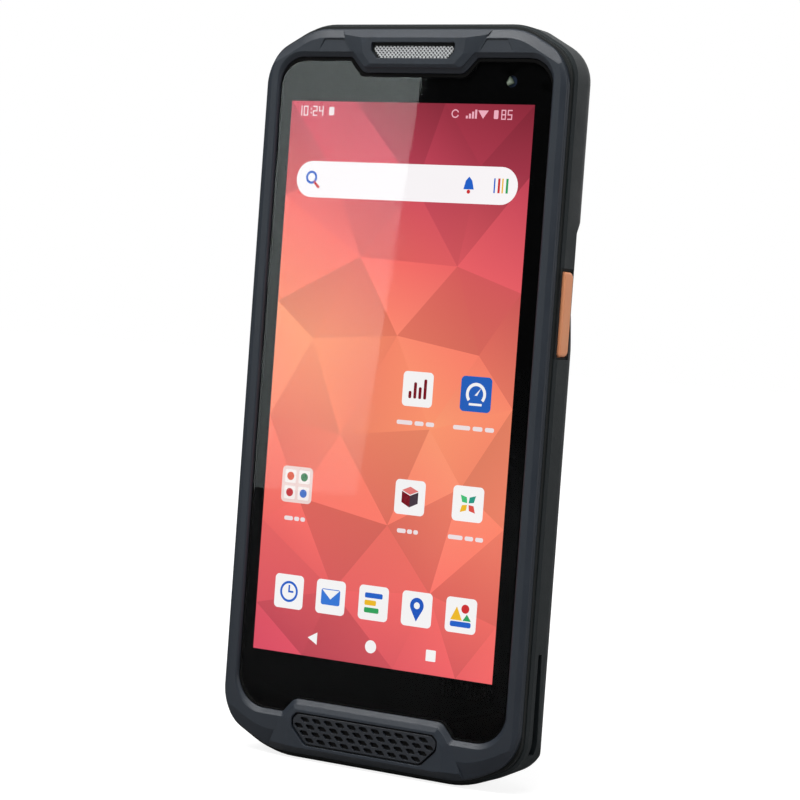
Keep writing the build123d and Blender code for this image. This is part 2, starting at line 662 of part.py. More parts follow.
def mesh_outline():
    """Outline of the earpiece mesh inside its gasket."""
    return ear_outline(EAR_GASKET_SIDE, EAR_GASKET_BASE, EAR_GASKET_TOP)


def receiver_heights():
    """Lower and upper limits of the earpiece receiver."""
    middle = (EAR_BASE + EAR_TOP) / 2
    return middle - RECEIVER_HEIGHT / 2, middle + RECEIVER_HEIGHT / 2


def speaker_pockets():
    """Grille seat, sound outlet and loudspeaker pocket in the bezel."""
    seat = slab(grille_outline(0), -BUMP_PROUD - 1, SPEAKER_MESH_BACK)
    outlet = block((1 - SPEAKER_HALF, SPEAKER_HALF - 1), (SPEAKER_MESH_BACK - 1, SPEAKER_FRONT),
                   (SPEAKER_HEIGHTS[0] + 0.6, SPEAKER_HEIGHTS[1] - 0.6))
    pocket = block((-SPEAKER_HALF - FIT, SPEAKER_HALF + FIT), (SPEAKER_FRONT, CHASSIS_FRONT + 1),
                   (SPEAKER_HEIGHTS[0] - FIT, SPEAKER_HEIGHTS[1] + FIT))
    return [seat, outlet, pocket]


def earpiece_pockets():
    """Mesh seat, sound hole and receiver pocket in the bezel."""
    low, high = receiver_heights()
    seat = slab(ear_outline(0, 0, 0), -BUMP_PROUD - 1, EAR_MESH_BACK)
    hole = block((1 - RECEIVER_HALF, RECEIVER_HALF - 1), (EAR_MESH_BACK - 1, RECEIVER_FRONT),
                 (low + 1.2, high - 1.2))
    pocket = block((-RECEIVER_HALF - FIT, RECEIVER_HALF + FIT),
                   (RECEIVER_FRONT, CHASSIS_FRONT + 1), (low - FIT, high + FIT))
    return [seat, hole, pocket]


def front_bezel():
    """Rim around the glass, with the skirt and ledge that carry the display."""
    rim = bezel_envelope(RIM_PROUD, CHIN_BEVEL)
    envelope = bezel_envelope(BUMP_PROUD, BUMP_BEVEL)
    bumps = [bump & envelope for bump in (ear_bump(), chin_bump())]
    skirt = slab(even_outline(WALL + FIT * 3), BEZEL_DEPTH, CHASSIS_FRONT)
    body = joined([rim, *bumps, skirt])
    window_xs, window_heights = panel_span(0.35)
    window = block(window_xs, (LEDGE - 1, CHASSIS_FRONT + 1), window_heights)
    camera = block((CAMERA_X - 3.2, CAMERA_X + 3.2), (LEDGE - 1, CHASSIS_FRONT + 1),
                   (CAMERA_HEIGHT - 3.2, CAMERA_HEIGHT + 3.2))
    tools = [glass_cutter(), window, camera, *speaker_pockets(), *earpiece_pockets()]
    tools += both_sides(side_facet())
    for base, length, sides in key_spans():
        relief = block((INNER_SIDE - 1.1, BODY_HALF), (BEZEL_DEPTH + SEAL_WIDTH, CHASSIS_FRONT + 1),
                       (base - KEY_EAR - FIT, base + length + KEY_EAR + FIT))
        tools += [relief if side > 0 else mirror(relief, about=Plane.YZ) for side in sides]
    for x, z in screw_places():
        tools.append(rod(x, z, SCREW_RADIUS, BEZEL_DEPTH, CHASSIS_FRONT + 1))
    return cut(body, tools)


def key_spans():
    """Base height, length and sides of each key."""
    return [
        (SCAN_KEY_BASE, SCAN_KEY_LENGTH, (1, -1)),
        (VOLUME_DOWN_BASE, VOLUME_KEY_LENGTH, (-1,)),
        (VOLUME_UP_BASE, VOLUME_KEY_LENGTH, (-1,)),
        (POWER_KEY_BASE, POWER_KEY_LENGTH, (-1,)),
    ]


# ---- rear housing ----
def rounded_back(inset, back_inset):
    """Form with rounded rear edges along the sides and upper corners, moved in by a wall."""
    half = BODY_HALF - inset
    reach = LENGTH / 4
    flat_top = TOP_FLAT_HALF + corner_run(TOP_TILT, -SIDE_ROUND, inset)
    top = LENGTH + SIDE_ROUND
    face = rounded(symmetric([
        (half, -reach, 0),
        (half, top - corner_foot(TOP_TILT, half - flat_top), SIDE_RADIUS - inset),
        (flat_top, top, 0),
    ]))
    back = BODY_DEPTH - back_inset
    return fillet(edges_at(slab(face, SEAL_BACK - 1, back), back), SIDE_ROUND - inset)


def heel(lift):
    """Cutter below the slope that the underside takes towards the back."""
    rise = corner_foot(HEEL_TILT, BODY_DEPTH)
    start = GLASS_Y + HEEL_START
    end = start + BODY_DEPTH
    face = make_face(Polyline((start, lift - 1), (end, lift - 1), (end, lift + rise),
                              (start, lift), close=True))
    return extrude(Plane.YZ * face, amount=BODY_HALF, both=True)


def scoop():
    """Cutter for the finger scoop on the right long rear edge."""
    reach = SIDE_ROUND + 1
    centre = SCAN_KEY_BASE + SCAN_KEY_LENGTH / 2
    base = centre - SCOOP_BELOW
    top = centre + SCOOP_ABOVE
    low = SIDE_ROUND - SCOOP_DEPTH
    face = rounded([(reach, base, 0), (SIDE_ROUND, base + SCOOP_BELOW / 5, 0),
                    (low, base + SCOOP_BELOW, 4), (low, top - SCOOP_BELOW / 3, 2),
                    (SIDE_ROUND, top - SCOOP_DEPTH, 0), (reach, top, 0)])
    turn = radians(SCOOP_TURN)
    plane = Plane(origin=(BODY_HALF - SIDE_ROUND, GLASS_Y + BODY_DEPTH - SIDE_ROUND, 0),
                  x_dir=(sin(turn), cos(turn), 0), z_dir=(cos(turn), -sin(turn), 0))
    return extrude(plane * face, amount=SIDE_ROUND * 2, both=True)


def housing_outer():
    """Outer form of the rear housing, solid."""
    core = slab(even_outline(0), SEAL_BACK, BODY_DEPTH)
    core = fillet(edges_at(core, BODY_DEPTH), REAR_ROUND)
    core = chamfer(edges_at(core, SEAL_BACK), FRONT_CHAMFER_DEPTH, FRONT_CHAMFER)
    core = cut(core & rounded_back(0, 0), [heel(0)])
    foot = even_outline(PLATEAU_INSET)
    crest = even_outline(PLATEAU_INSET + PLATEAU_SLOPE)
    plateau = loft([level(foot, BODY_DEPTH - FIT), level(crest, PLATEAU_DEPTH)], ruled=True)
    return cut(core + plateau, both_sides(scoop()))


def bay_box(grow, front, back):
    """Box over the battery bay, grown by a wall or shrunk by a clearance."""
    return round_block((-BAY_HALF - grow, BAY_HALF + grow), (front, back),
                       (BAY_BASE - grow, BAY_TOP + grow), 1.5)


def door_box(gap, front, back):
    """Box over the battery door, shrunk by a gap."""
    return round_block((gap - DOOR_HALF, DOOR_HALF - gap), (front, back),
                       (DOOR_BASE + gap, DOOR_TOP - gap), DOOR_RADIUS)


def strap_slot():
    """L-shaped slot for a hand strap at the right lower corner."""
    low = STRAP_SLOT_BASE
    high = STRAP_SLOT_BASE + STRAP_SLOT_LENGTH
    inner = BODY_HALF - STRAP_BAR - STRAP_SLOT
    front = GLASS_Y + STRAP_SLOT_DEPTH
    face = make_face(Polyline((front, low), (front + STRAP_SLOT_FOOT, low),
                              (front + STRAP_SLOT, high), (front, high), close=True))
    plane = Plane(origin=(inner, 0, 0), x_dir=(0, 1, 0), z_dir=(1, 0, 0))
    side = extrude(plane * face, amount=STRAP_BAR + STRAP_SLOT + 1)
    rear = block((inner, inner + STRAP_SLOT), (STRAP_SLOT_DEPTH, PLATEAU_DEPTH + 1), (low, high))
    return side + rear


def strap_block():
    """Solid corner that the strap slot is cut in."""
    inner = BODY_HALF - STRAP_BAR - STRAP_SLOT - STRAP_WALL
    return block((inner, BODY_HALF), (CHASSIS_BACK + FIT, BODY_DEPTH - FIT),
                 (STRAP_SLOT_BASE - STRAP_WALL, STRAP_SLOT_BASE + STRAP_SLOT_LENGTH + STRAP_WALL))


def key_windows():
    """Openings for the key caps and their frames in the housing's side walls."""
    windows = []
    room = KEY_GAP + KEY_FRAME
    for base, length, sides in key_spans():
        window = block((INNER_SIDE - 1, KEY_FACE + 1), (SEAL_BACK - 1, key_back(length) + room),
                       (base - room, base + length + room))
        windows += [window if side > 0 else mirror(window, about=Plane.YZ) for side in sides]
    return windows


def key_back(length):
    """Depth of a key cap's rear edge."""
    return SCAN_KEY_BACK if length == SCAN_KEY_LENGTH else SMALL_KEY_BACK


def usb_opening():
    """Rounded opening for the charging socket in the underside."""
    middle = SUB_BOARD_BACK + USB_THICK / 2
    face = Pos(0, GLASS_Y + middle) * SlotOverall(2 * USB_HALF + 0.6, USB_THICK + 0.5)
    return extrude(face, amount=WALL * 2, both=True)


def scan_window_cut():
    """Seat and light opening of the scan window in the top."""
    seat = block((-WINDOW_HALF - FIT, WINDOW_HALF + FIT), (WINDOW_FRONT - FIT, WINDOW_BACK + FIT),
                 (LENGTH - WINDOW_THICK - 0.1, LENGTH + 1))
    light = block((1 - WINDOW_HALF, WINDOW_HALF - 1), (WINDOW_FRONT + 0.9, WINDOW_BACK - 0.9),
                  (LENGTH - WALL - 1, LENGTH + 1))
    return seat + light


def latch_slot():
    """Slot below the door that the latch bolt enters."""
    return block((-BOLT_HALF - FIT, BOLT_HALF + FIT), (BOLT_FRONT - FIT, BOLT_BACK + FIT),
                 (DOOR_BASE - LATCH_TRAVEL, DOOR_BASE + 1))


def rear_openings():
    """Camera, flash, dock contact, grip screw and microphone openings."""
    middle = REAR_CAMERA_HEIGHT
    mic_hole = Pos(MIC_X, GLASS_Y + SUB_BOARD_BACK + MIC_THICK / 2) * Circle(MIC_THICK / 2)
    tools = [
        rod(REAR_CAMERA_X, middle, CAMERA_WINDOW_RADIUS + FIT, CAMERA_WINDOW_FRONT,
            PLATEAU_DEPTH + 1),
        rod(REAR_CAMERA_X, middle, CAMERA_WINDOW_RADIUS - 0.8, BODY_DEPTH - 3, PLATEAU_DEPTH),
        rod(FLASH_X, middle, FLASH_RADIUS + FIT, BODY_DEPTH - 3, PLATEAU_DEPTH + 1),
        extrude(mic_hole, amount=WALL * 2, both=True),
    ]
    for x in dock_places():
        tools.append(rod(x, DOCK_HEIGHT, DOCK_HEAD_RADIUS + FIT, BODY_DEPTH - 3, PLATEAU_DEPTH + 1))
    return tools


def dock_places():
    """X of each dock contact."""
    first = -DOCK_PITCH * (DOCK_COUNT - 1) / 2
    return [first + index * DOCK_PITCH for index in range(DOCK_COUNT)]


def grip_places():
    """X of each grip screw hole."""
    return [-GRIP_HOLE_SPACING / 2, GRIP_HOLE_SPACING / 2]


def rear_housing():
    """Back shell with the battery bay, strap slots and screw bosses."""
    outer = housing_outer()
    cavity = slab(even_outline(WALL), SEAL_BACK - 1, BACK_WALL_INNER)
    cavity = cut(cavity & rounded_back(WALL, BACK_WALL), [heel(WALL)])
    shell = outer - cavity
    solids = [shell, bay_box(BAY_WALL, BAY_FLOOR_FRONT, BODY_DEPTH)]
    solids += [corner & outer for corner in both_sides(strap_block())]
    for x, z in screw_places():
        solids.append(rod(x, z, BOSS_RADIUS, CHASSIS_BACK, BACK_WALL_INNER + FIT))
    for x in grip_places():
        solids.append(rod(x, GRIP_HEIGHT, GRIP_INSERT_RADIUS + GRIP_BOSS_WALL,
                          PLATEAU_DEPTH - GRIP_HOLE_DEPTH - GRIP_BOSS_WALL, BACK_WALL_INNER + FIT))
    tools = [bay_box(0, BAY_FLOOR_BACK, PLATEAU_DEPTH + 1), door_box(0, DOOR_FRONT, PLATEAU_DEPTH + 1)]
    tools += both_sides(strap_slot()) + key_windows() + rear_openings()
    tools += [usb_opening(), scan_window_cut(), latch_slot()]
    tools.append(block(CARD_XS, (BOARD_BACK, BOARD_BACK + CARD_THICK + FIT),
                       (BAY_TOP - 1, BAY_TOP + BAY_WALL + 1)))
    tools.append(block(CONTACT_XS, (BOARD_BACK, CONTACT_BACK + FIT),
                       (BAY_TOP - 1, BAY_TOP + BAY_WALL + 1)))
    for x, z in screw_places():
        tools.append(rod(x, z, SCREW_RADIUS + SCREW_GAP, CHASSIS_BACK - 1, PLATEAU_DEPTH))
        tools.append(rod(x, z, SCREW_HEAD_RADIUS + SCREW_GAP, SCREW_SEAT, PLATEAU_DEPTH + 1))
    for x in grip_places():
        tools.append(rod(x, GRIP_HEIGHT, GRIP_INSERT_RADIUS, PLATEAU_DEPTH - GRIP_HOLE_DEPTH,
                         PLATEAU_DEPTH + 1))
    return cut(joined(solids), tools)


def housing_seal():
    """Rubber ring squeezed between the bezel and the rear housing."""
    outer = even_outline(HOUSING_STEP - FIT)
    inner = even_outline(WALL + FIT * 2)
    return slab(outer, BEZEL_DEPTH, SEAL_BACK) - slab(inner, BEZEL_DEPTH - 1, SEAL_BACK + 1)


# ---- display stack ----
def cover_glass():
    """Cover glass with the notches for the two bumps."""
    return slab(glass_outline(0), 0, GLASS_THICK)


def border_film():
    """Black printed border behind the glass, open over the lit area and the camera."""
    window = block((SCREEN_SHIFT - SCREEN_WIDTH / 2, SCREEN_SHIFT + SCREEN_WIDTH / 2),
                   (0, FILM_BACK + 1), (CHIN, CHIN + SCREEN_HEIGHT))
    camera = rod(CAMERA_X, CAMERA_HEIGHT, 1.3, 0, FILM_BACK + 1)
    return cut(slab(glass_outline(-FIT), GLASS_THICK, FILM_BACK), [window, camera])


def glass_tape():
    """Adhesive ring between the glass and the bezel's ledge, with a lip around the glass."""
    xs, heights = panel_span(0.35 + FIT)
    ring = slab(even_opening(-FIT), TAPE_LIP_DROP, LEDGE)
    ring = ring - slab(glass_outline(FIT), TAPE_LIP_DROP - 1, FILM_BACK)
    camera = block((CAMERA_X - 3.3, CAMERA_X + 3.3), (0, LEDGE + 1),
                   (CAMERA_HEIGHT - 3.3, CAMERA_HEIGHT + 3.3))
    return cut(ring, [block(xs, (0, LEDGE + 1), heights), camera])


def display_panel():
    """Liquid crystal panel bonded to the glass."""
    xs, heights = panel_span(0)
    return block(xs, (FILM_BACK, PANEL_BACK), heights)


def backlight_unit():
    """Tray with the display's backlight."""
    xs, heights = panel_span(-0.3)
    return round_block(xs, (PANEL_BACK, BACKLIGHT_BACK), (heights[0] + 1.4, heights[1]), 1)


def display_flex():
    """Ribbon from the panel's foot through the chassis to the sub board."""
    low = CHIN - PANEL_FOOT + 0.3
    return block((-FLEX_HALF, FLEX_HALF), (PANEL_BACK, SUB_BOARD_FRONT), (low, low + FLEX_THICK))


# ---- chassis and boards ----
def board_posts():
    """Centres of the main board's standoffs."""
    low = MAIN_BOARD_BASE + 2.5
    high = MAIN_BOARD_TOP - 3
    return [(x, z) for x in (-POST_X, POST_X) for z in (low, high)]


def sub_board_posts():
    """Centres of the sub board's standoffs."""
    return [(x, SUB_BOARD_TOP - 6) for x in (-SUB_BOARD_HALF + 2.5, SUB_BOARD_HALF - 2.5)]


def chassis_plate():
    """Metal plate that carries the boards, with standoffs and key brackets."""
    plate = slab(even_outline(CHASSIS_INSET), CHASSIS_FRONT, CHASSIS_BACK)
    solids = [plate]
    solids += [rod(x, z, POST_RADIUS, CHASSIS_BACK, BOARD_FRONT) for x, z in board_posts()]
    solids += [rod(x, z, POST_RADIUS, CHASSIS_BACK, SUB_BOARD_FRONT) for x, z in sub_board_posts()]
    solids += on_brackets(BRACKET_XS)
    tools = [block((-SPEAKER_HALF - 1, SPEAKER_HALF + 1), (CHASSIS_FRONT - 1, CHASSIS_BACK + 1),
                   (-1, SPEAKER_HEIGHTS[1] + 0.8)),
             block((-FLEX_HALF - 1, FLEX_HALF + 1), (CHASSIS_FRONT - 1, CHASSIS_BACK + 1),
                   (CHIN - PANEL_FOOT - 0.2, CHIN - PANEL_FOOT + 1))]
    pitch = BAY_HEIGHT / CHASSIS_WINDOWS
    for index in range(CHASSIS_WINDOWS):
        low = BAY_BASE + CHASSIS_BRIDGE / 2 + index * pitch
        tools.append(round_block((-CHASSIS_WINDOW_HALF, CHASSIS_WINDOW_HALF),
                                 (CHASSIS_FRONT - 1, CHASSIS_BACK + 1),
                                 (low, low + pitch - CHASSIS_BRIDGE), 3))
    tools += [rod(x, z, SCREW_RADIUS + SCREW_GAP, CHASSIS_FRONT - 1, CHASSIS_BACK + 1)
              for x, z in screw_places()]
    tools += [rod(x, z, POST_BORE, CHASSIS_BACK - 0.5, BOARD_FRONT + 1) for x, z in board_posts()]
    tools += [rod(x, z, POST_BORE, CHASSIS_BACK - 0.5, SUB_BOARD_FRONT + 1)
              for x, z in sub_board_posts()]
    return cut(joined(solids), tools)


def on_brackets(xs):
    """Upright plates along the key brackets, between two values of x on the right-hand side."""
    plates = []
    for low, high, side in bracket_spans():
        plate = block(xs, (CHASSIS_BACK, SWITCH_BACK), (low, high))
        plates.append(plate if side > 0 else mirror(plate, about=Plane.YZ))
    return plates


def bracket_spans():
    """Lower and upper limits and side of each key bracket."""
    keys = (SCAN_KEY_BASE - 1, POWER_KEY_BASE + POWER_KEY_LENGTH + 1)
    scan = (SCAN_KEY_BASE - 1, SCAN_KEY_BASE + SCAN_KEY_LENGTH + 1)
    return [(*scan, 1), (*keys, -1)]


def main_board():
    """Main circuit board above the battery bay."""
    board = round_block((-BOARD_HALF, BOARD_HALF), (BOARD_FRONT, BOARD_BACK),
                        (MAIN_BOARD_BASE, MAIN_BOARD_TOP), 2)
    holes = [rod(x, z, BOARD_HOLE, BOARD_FRONT - 1, BOARD_BACK + 1) for x, z in board_posts()]
    return cut(board, holes)


def share(limits, shares):
    """Part of a span between two limits, given as shares of it."""
    low, high = limits
    return low + shares[0] * (high - low), low + shares[1] * (high - low)


def board_chips():
    """Processor, memory and power chips under the shield."""
    chips = []
    for xs, heights in zip(CHIP_XS, CHIP_HEIGHTS):
        chips.append(block(share(SHIELD_XS, xs), (BOARD_BACK, BOARD_BACK + CHIP_THICK),
                           share(SHIELD_HEIGHTS, heights)))
    return Compound(children=chips)


def shield(xs, heights, front, back, open_front):
    """Hollow pressed-metal shield can."""
    can = round_block(xs, (front, back), heights, 1)
    shift = -1 if open_front else SHIELD_WALL
    hollow = block((xs[0] + SHIELD_WALL, xs[1] - SHIELD_WALL),
                   (front + shift, back + shift + (1 - SHIELD_WALL if open_front else 1)),
                   (heights[0] + SHIELD_WALL, heights[1] - SHIELD_WALL))
    return can - hollow


def processor_shield():
    """Shield over the chips."""
    return shield(SHIELD_XS, SHIELD_HEIGHTS, BOARD_BACK, BOARD_BACK + SHIELD_HEIGHT, True)


def radio_shield():
    """Shield on the front of the main board."""
    half = BOARD_HALF - RADIO_INSET
    heights = (MAIN_BOARD_BASE + RADIO_END_INSET, MAIN_BOARD_TOP - RADIO_END_INSET)
    return shield((-half, half), heights, CHASSIS_BACK + FIT, BOARD_FRONT, False)


def card_socket():
    """Card holder reached from the empty battery bay."""
    return block((CARD_XS[0] + FIT, CARD_XS[1] - FIT), (BOARD_BACK, BOARD_BACK + CARD_THICK),
                 (BAY_TOP + FIT, MAIN_BOARD_BASE + CARD_REACH))


def battery_contacts():
    """Block of spring contacts that reaches into the battery bay."""
    body = block((CONTACT_XS[0] + FIT, CONTACT_XS[1] - FIT), (BOARD_BACK, CONTACT_BACK),
                 (BAY_TOP, MAIN_BOARD_BASE + CONTACT_REACH))
    blades = [block((x, x + BLADE_WIDTH), (BOARD_BACK + 0.5, BOARD_BACK + 1.7),
                    (BAY_TOP - BATTERY_GAP + FIT, BAY_TOP))
              for x in contact_places()]
    return joined([body, *blades])


def contact_places():
    """Left edge of each battery contact blade."""
    return [CONTACT_XS[0] + 1.1 + BLADE_PITCH * index for index in range(BLADE_COUNT)]


def sub_board():
    """Lower board with the charging socket."""
    board = round_block((-SUB_BOARD_HALF, SUB_BOARD_HALF), (SUB_BOARD_FRONT, SUB_BOARD_BACK),
                        (SUB_BOARD_BASE, SUB_BOARD_TOP), 1)
    holes = [rod(x, z, BOARD_HOLE, SUB_BOARD_FRONT - 1, SUB_BOARD_BACK + 1)
             for x, z in sub_board_posts()]
    return cut(board, holes)


def link_flex():
    """Ribbon beside the battery bay that joins the two boards."""
    left = BAY_HALF + BAY_WALL + 0.4
    xs = (left, left + LINK_FLEX_WIDTH)
    depths = (CHASSIS_BACK, CHASSIS_BACK + FLEX_THICK)
    top_join = (MAIN_BOARD_BASE + 6, MAIN_BOARD_BASE + 9)
    base_join = (SUB_BOARD_TOP - 4, SUB_BOARD_TOP - 1)
    strip = block(xs, depths, (base_join[0], top_join[1]))
    foot = block((SUB_BOARD_HALF - 2, xs[1]), depths, base_join)
    plug_low = block((SUB_BOARD_HALF - 2, SUB_BOARD_HALF), (CHASSIS_BACK, SUB_BOARD_FRONT),
                     base_join)
    plug_high = block(xs, (CHASSIS_BACK, BOARD_FRONT), top_join)
    return joined([strip, foot, plug_low, plug_high])


def usb_socket():
    """Charging and data socket in the underside."""
    middle = GLASS_Y + SUB_BOARD_BACK + USB_THICK / 2
    base = WALL + FIT
    shell = extrude(Pos(0, middle) * SlotOverall(2 * USB_HALF, USB_THICK), amount=USB_LENGTH)
    mouth = extrude(Pos(0, middle) * SlotOverall(2 * USB_HALF - 0.6, USB_THICK - 0.6),
                    amount=USB_LENGTH - 1)
    tongue = block((-3.3, 3.3), (SUB_BOARD_BACK + USB_THICK / 2 - 0.35,
                                 SUB_BOARD_BACK + USB_THICK / 2 + 0.35), (1, USB_LENGTH))
    return Pos(0, 0, base) * (shell - mouth + tongue)


def dock_contacts():
    """Gold charging pads on the lower back."""
    pins = []
    for x in dock_places():
        head = rod(x, DOCK_HEIGHT, DOCK_HEAD_RADIUS, BODY_DEPTH - 0.2, PLATEAU_DEPTH - FIT)
        stem = rod(x, DOCK_HEIGHT, DOCK_PIN_RADIUS, SUB_BOARD_BACK, BODY_DEPTH - 0.2)
        pins.append(head + stem)
    return Compound(children=pins)


def vibration_motor():
    """Coin motor on the sub board."""
    x = dock_places()[0] - DOCK_HEAD_RADIUS - MOTOR_GAP - MOTOR_RADIUS
    return rod(x, SUB_BOARD_TOP - MOTOR_DROP, MOTOR_RADIUS, SUB_BOARD_BACK,
               SUB_BOARD_BACK + MOTOR_THICK)


def microphone():
    """Microphone behind its hole in the underside."""
    low = WALL + MIC_RISE
    return block((MIC_X - MIC_WIDTH / 2, MIC_X + MIC_WIDTH / 2),
                 (SUB_BOARD_BACK, SUB_BOARD_BACK + MIC_THICK), (low, low + MIC_HEIGHT))


# ---- loudspeaker and earpiece ----
def slot_shape():
    """One six-sided, slanting grille slot."""
    half = SLOT_WIDTH / 2
    rise = SLOT_HEIGHT / 2
    shoulder = half - SLOT_POINT
    slant = SLOT_SLANT
    return rounded([(-half, rise / 3, 0.1), (slant - shoulder, -rise, 0.15),
                    (slant + shoulder, -rise, 0.15), (half, -rise / 3, 0.1),
                    (shoulder - slant, rise, 0.15), (-shoulder - slant, rise, 0.15)])


def speaker_grille():
    """Insert with staggered rows of slots."""
    plate = slab(grille_outline(-GRILLE_GROOVE), GRILLE_FRONT, GRILLE_BACK)
    plate = fillet(edges_at(plate, GRILLE_FRONT), 0.15)
    for row, count in enumerate(SLOT_COUNTS):
        height = FIRST_SLOT_ROW + row * SLOT_ROW_PITCH
        first = -SLOT_PITCH * (count - 1) / 2
        slots = [Pos(first + index * SLOT_PITCH, height) * slot_shape() for index in range(count)]
        plate = plate - slab(Sketch(children=slots), GRILLE_FRONT - 1, GRILLE_BACK + 1)
    return plate


def speaker_mesh():
    """Dust cloth behind the grille."""
    return slab(grille_outline(-2 * FIT), GRILLE_BACK, SPEAKER_MESH_BACK)


def loudspeaker():
    """Speaker box behind the grille."""
    low, high = SPEAKER_HEIGHTS
    box = block((-SPEAKER_HALF, SPEAKER_HALF), (SPEAKER_FRONT, SPEAKER_BACK), (low, high))
    cone = round_block((-9, 9), (SPEAKER_FRONT - 1, SPEAKER_FRONT + 0.4), (low + 1, high - 1), 2)
    return box - cone


def earpiece_mesh():
    """Woven cover of the earpiece."""
    return slab(mesh_outline(), EAR_MESH_FRONT, EAR_MESH_BACK)


def earpiece_gasket():
    """Foam gasket around the earpiece mesh."""
    front = EAR_MESH_FRONT + EAR_GASKET_DROP
    frame = slab(ear_outline(0, 0, 0), front, EAR_MESH_BACK)
    return frame - slab(mesh_outline(), front - 1, EAR_MESH_BACK + 1)


def earpiece_receiver():
    """Receiver capsule behind the earpiece mesh."""
    return block((-RECEIVER_HALF, RECEIVER_HALF), (RECEIVER_FRONT, CHASSIS_FRONT),
                 receiver_heights())


# ---- cameras and scanner ----
def front_camera():
    """Camera module under the glass."""
    body = block((CAMERA_X - 3, CAMERA_X + 3), (LEDGE + 0.5, CHASSIS_FRONT),
                 (CAMERA_HEIGHT - 3, CAMERA_HEIGHT + 3))
    barrel = rod(CAMERA_X, CAMERA_HEIGHT, 2.3, FILM_BACK + FIT, LEDGE + 0.5)
    return body + barrel - rod(CAMERA_X, CAMERA_HEIGHT, 1.3, 0, LEDGE + 0.4)


def front_camera_lens():
    """Front lens of the camera."""
    return rod(CAMERA_X, CAMERA_HEIGHT, 1.3, FILM_BACK + 2 * FIT, LEDGE + 0.4)


def rear_camera():
    """Camera module on the back of the main board."""
    height = REAR_CAMERA_HEIGHT
    half = REAR_CAMERA_SIZE / 2
    body_back = BACK_WALL_INNER - 2 * FIT
    body = block((REAR_CAMERA_X - half, REAR_CAMERA_X + half), (BOARD_BACK, body_back),
                 (height - half, height + half))
    barrel = rod(REAR_CAMERA_X, height, 3.3, body_back, CAMERA_WINDOW_FRONT - 2 * FIT)
    lens = rod(REAR_CAMERA_X, height, 1.8, CAMERA_WINDOW_FRONT - 0.7, CAMERA_WINDOW_FRONT)
    return body + barrel - lens


def rear_camera_window():
    """Round glass over the rear camera."""
    return rod(REAR_CAMERA_X, REAR_CAMERA_HEIGHT, CAMERA_WINDOW_RADIUS, CAMERA_WINDOW_FRONT,
               CAMERA_WINDOW_FRONT + CAMERA_WINDOW_THICK)


def flash_led():
    """Light-emitting diode of the flash."""
    half = FLASH_LED_HALF
    return block((FLASH_X - half, FLASH_X + half), (BOARD_BACK, BOARD_BACK + 0.8),
                 (REAR_CAMERA_HEIGHT - half, REAR_CAMERA_HEIGHT + half))


def flash_lens():
    """Clear light guide of the flash."""
    return rod(FLASH_X, REAR_CAMERA_HEIGHT, FLASH_RADIUS, BOARD_BACK + 1, PLATEAU_DEPTH - FIT)


def scan_engine():
    """Barcode scan engine behind the top window."""
    body = block((-SCANNER_HALF, SCANNER_HALF), (CHASSIS_BACK, SCANNER_BACK),
                 (SCANNER_BASE, SCANNER_TOP))
    eyes = [Pos(x, GLASS_Y + scanner_axis(), SCANNER_TOP) * Cylinder(radius, 3)
            for x, radius in scan_eyes()]
    return cut(body, eyes)


def scanner_axis():
    """Depth of the scan engine's optical axis."""
    return (WINDOW_FRONT + WINDOW_BACK) / 2


def scan_eyes():
    """X and radius of the scan engine's three eyes."""
    return [(-5.5, 1.3), (0.0, 2.1), (5.5, 1.3)]


def scan_engine_lenses():
    """Camera lens and the two lamp lenses of the scan engine."""
    lenses = []
    for x, radius in scan_eyes():
        place = Pos(x, GLASS_Y + scanner_axis(), SCANNER_TOP - 0.5)
        lenses.append(place * Cylinder(radius, 2))
    return Compound(children=lenses)


def scan_window():
    """Tinted window in the top."""
    plate = block((-WINDOW_HALF, WINDOW_HALF), (WINDOW_FRONT, WINDOW_BACK),
                  (LENGTH - WINDOW_THICK, LENGTH - FIT))
    return fillet(plate.edges().filter_by(Axis.Z), 0.8)


# ---- keys ----
def key(base, length):
    """Right-hand key: cap, retaining flange and plunger."""
    back = key_back(length)
    top = base + length
    face = rounded([(GLASS_Y + KEY_FRONT, base, KEY_FRONT_CORNER),
                    (GLASS_Y + back, base, KEY_CORNER),
                    (GLASS_Y + back, top, KEY_CORNER),
                    (GLASS_Y + KEY_FRONT, top, KEY_FRONT_CORNER)])
    plane = Plane(origin=(INNER_SIDE - 2 * FIT, 0, 0), x_dir=(0, 1, 0), z_dir=(1, 0, 0))
    cap = extrude(plane * face, amount=KEY_FACE - INNER_SIDE + 2 * FIT)
    outer = cap.edges().filter_by_position(Axis.X, KEY_FACE - 0.01, KEY_FACE + 0.01)
    cap = fillet(outer, KEY_EDGE)
    flange = block((INNER_SIDE - FIT - KEY_FLANGE, INNER_SIDE - FIT),
                   (CHASSIS_BACK + 0.2, back + 0.6), (base - KEY_EAR, base + length + KEY_EAR))
    middle = base + length / 2
    plunger = (Pos(plunger_end() + 0.5, GLASS_Y + SWITCH_DEPTH, middle)
               * Rot(0, 90, 0) * Cylinder(PLUNGER_RADIUS, 1))
    return joined([cap, flange, plunger])


def plunger_end():
    """X of a right-hand key's plunger tip at rest."""
    return INNER_SIDE - FIT - KEY_FLANGE - 0.7


def switch_face():
    """X of a right-hand switch's dome."""
    return plunger_end() - KEY_TRAVEL - 0.05


def right_key(base, length):
    """Key on the right side."""
    return key(base, length)


def left_key(base, length):
    """Key on the left side."""
    return mirror(key(base, length), about=Plane.YZ)


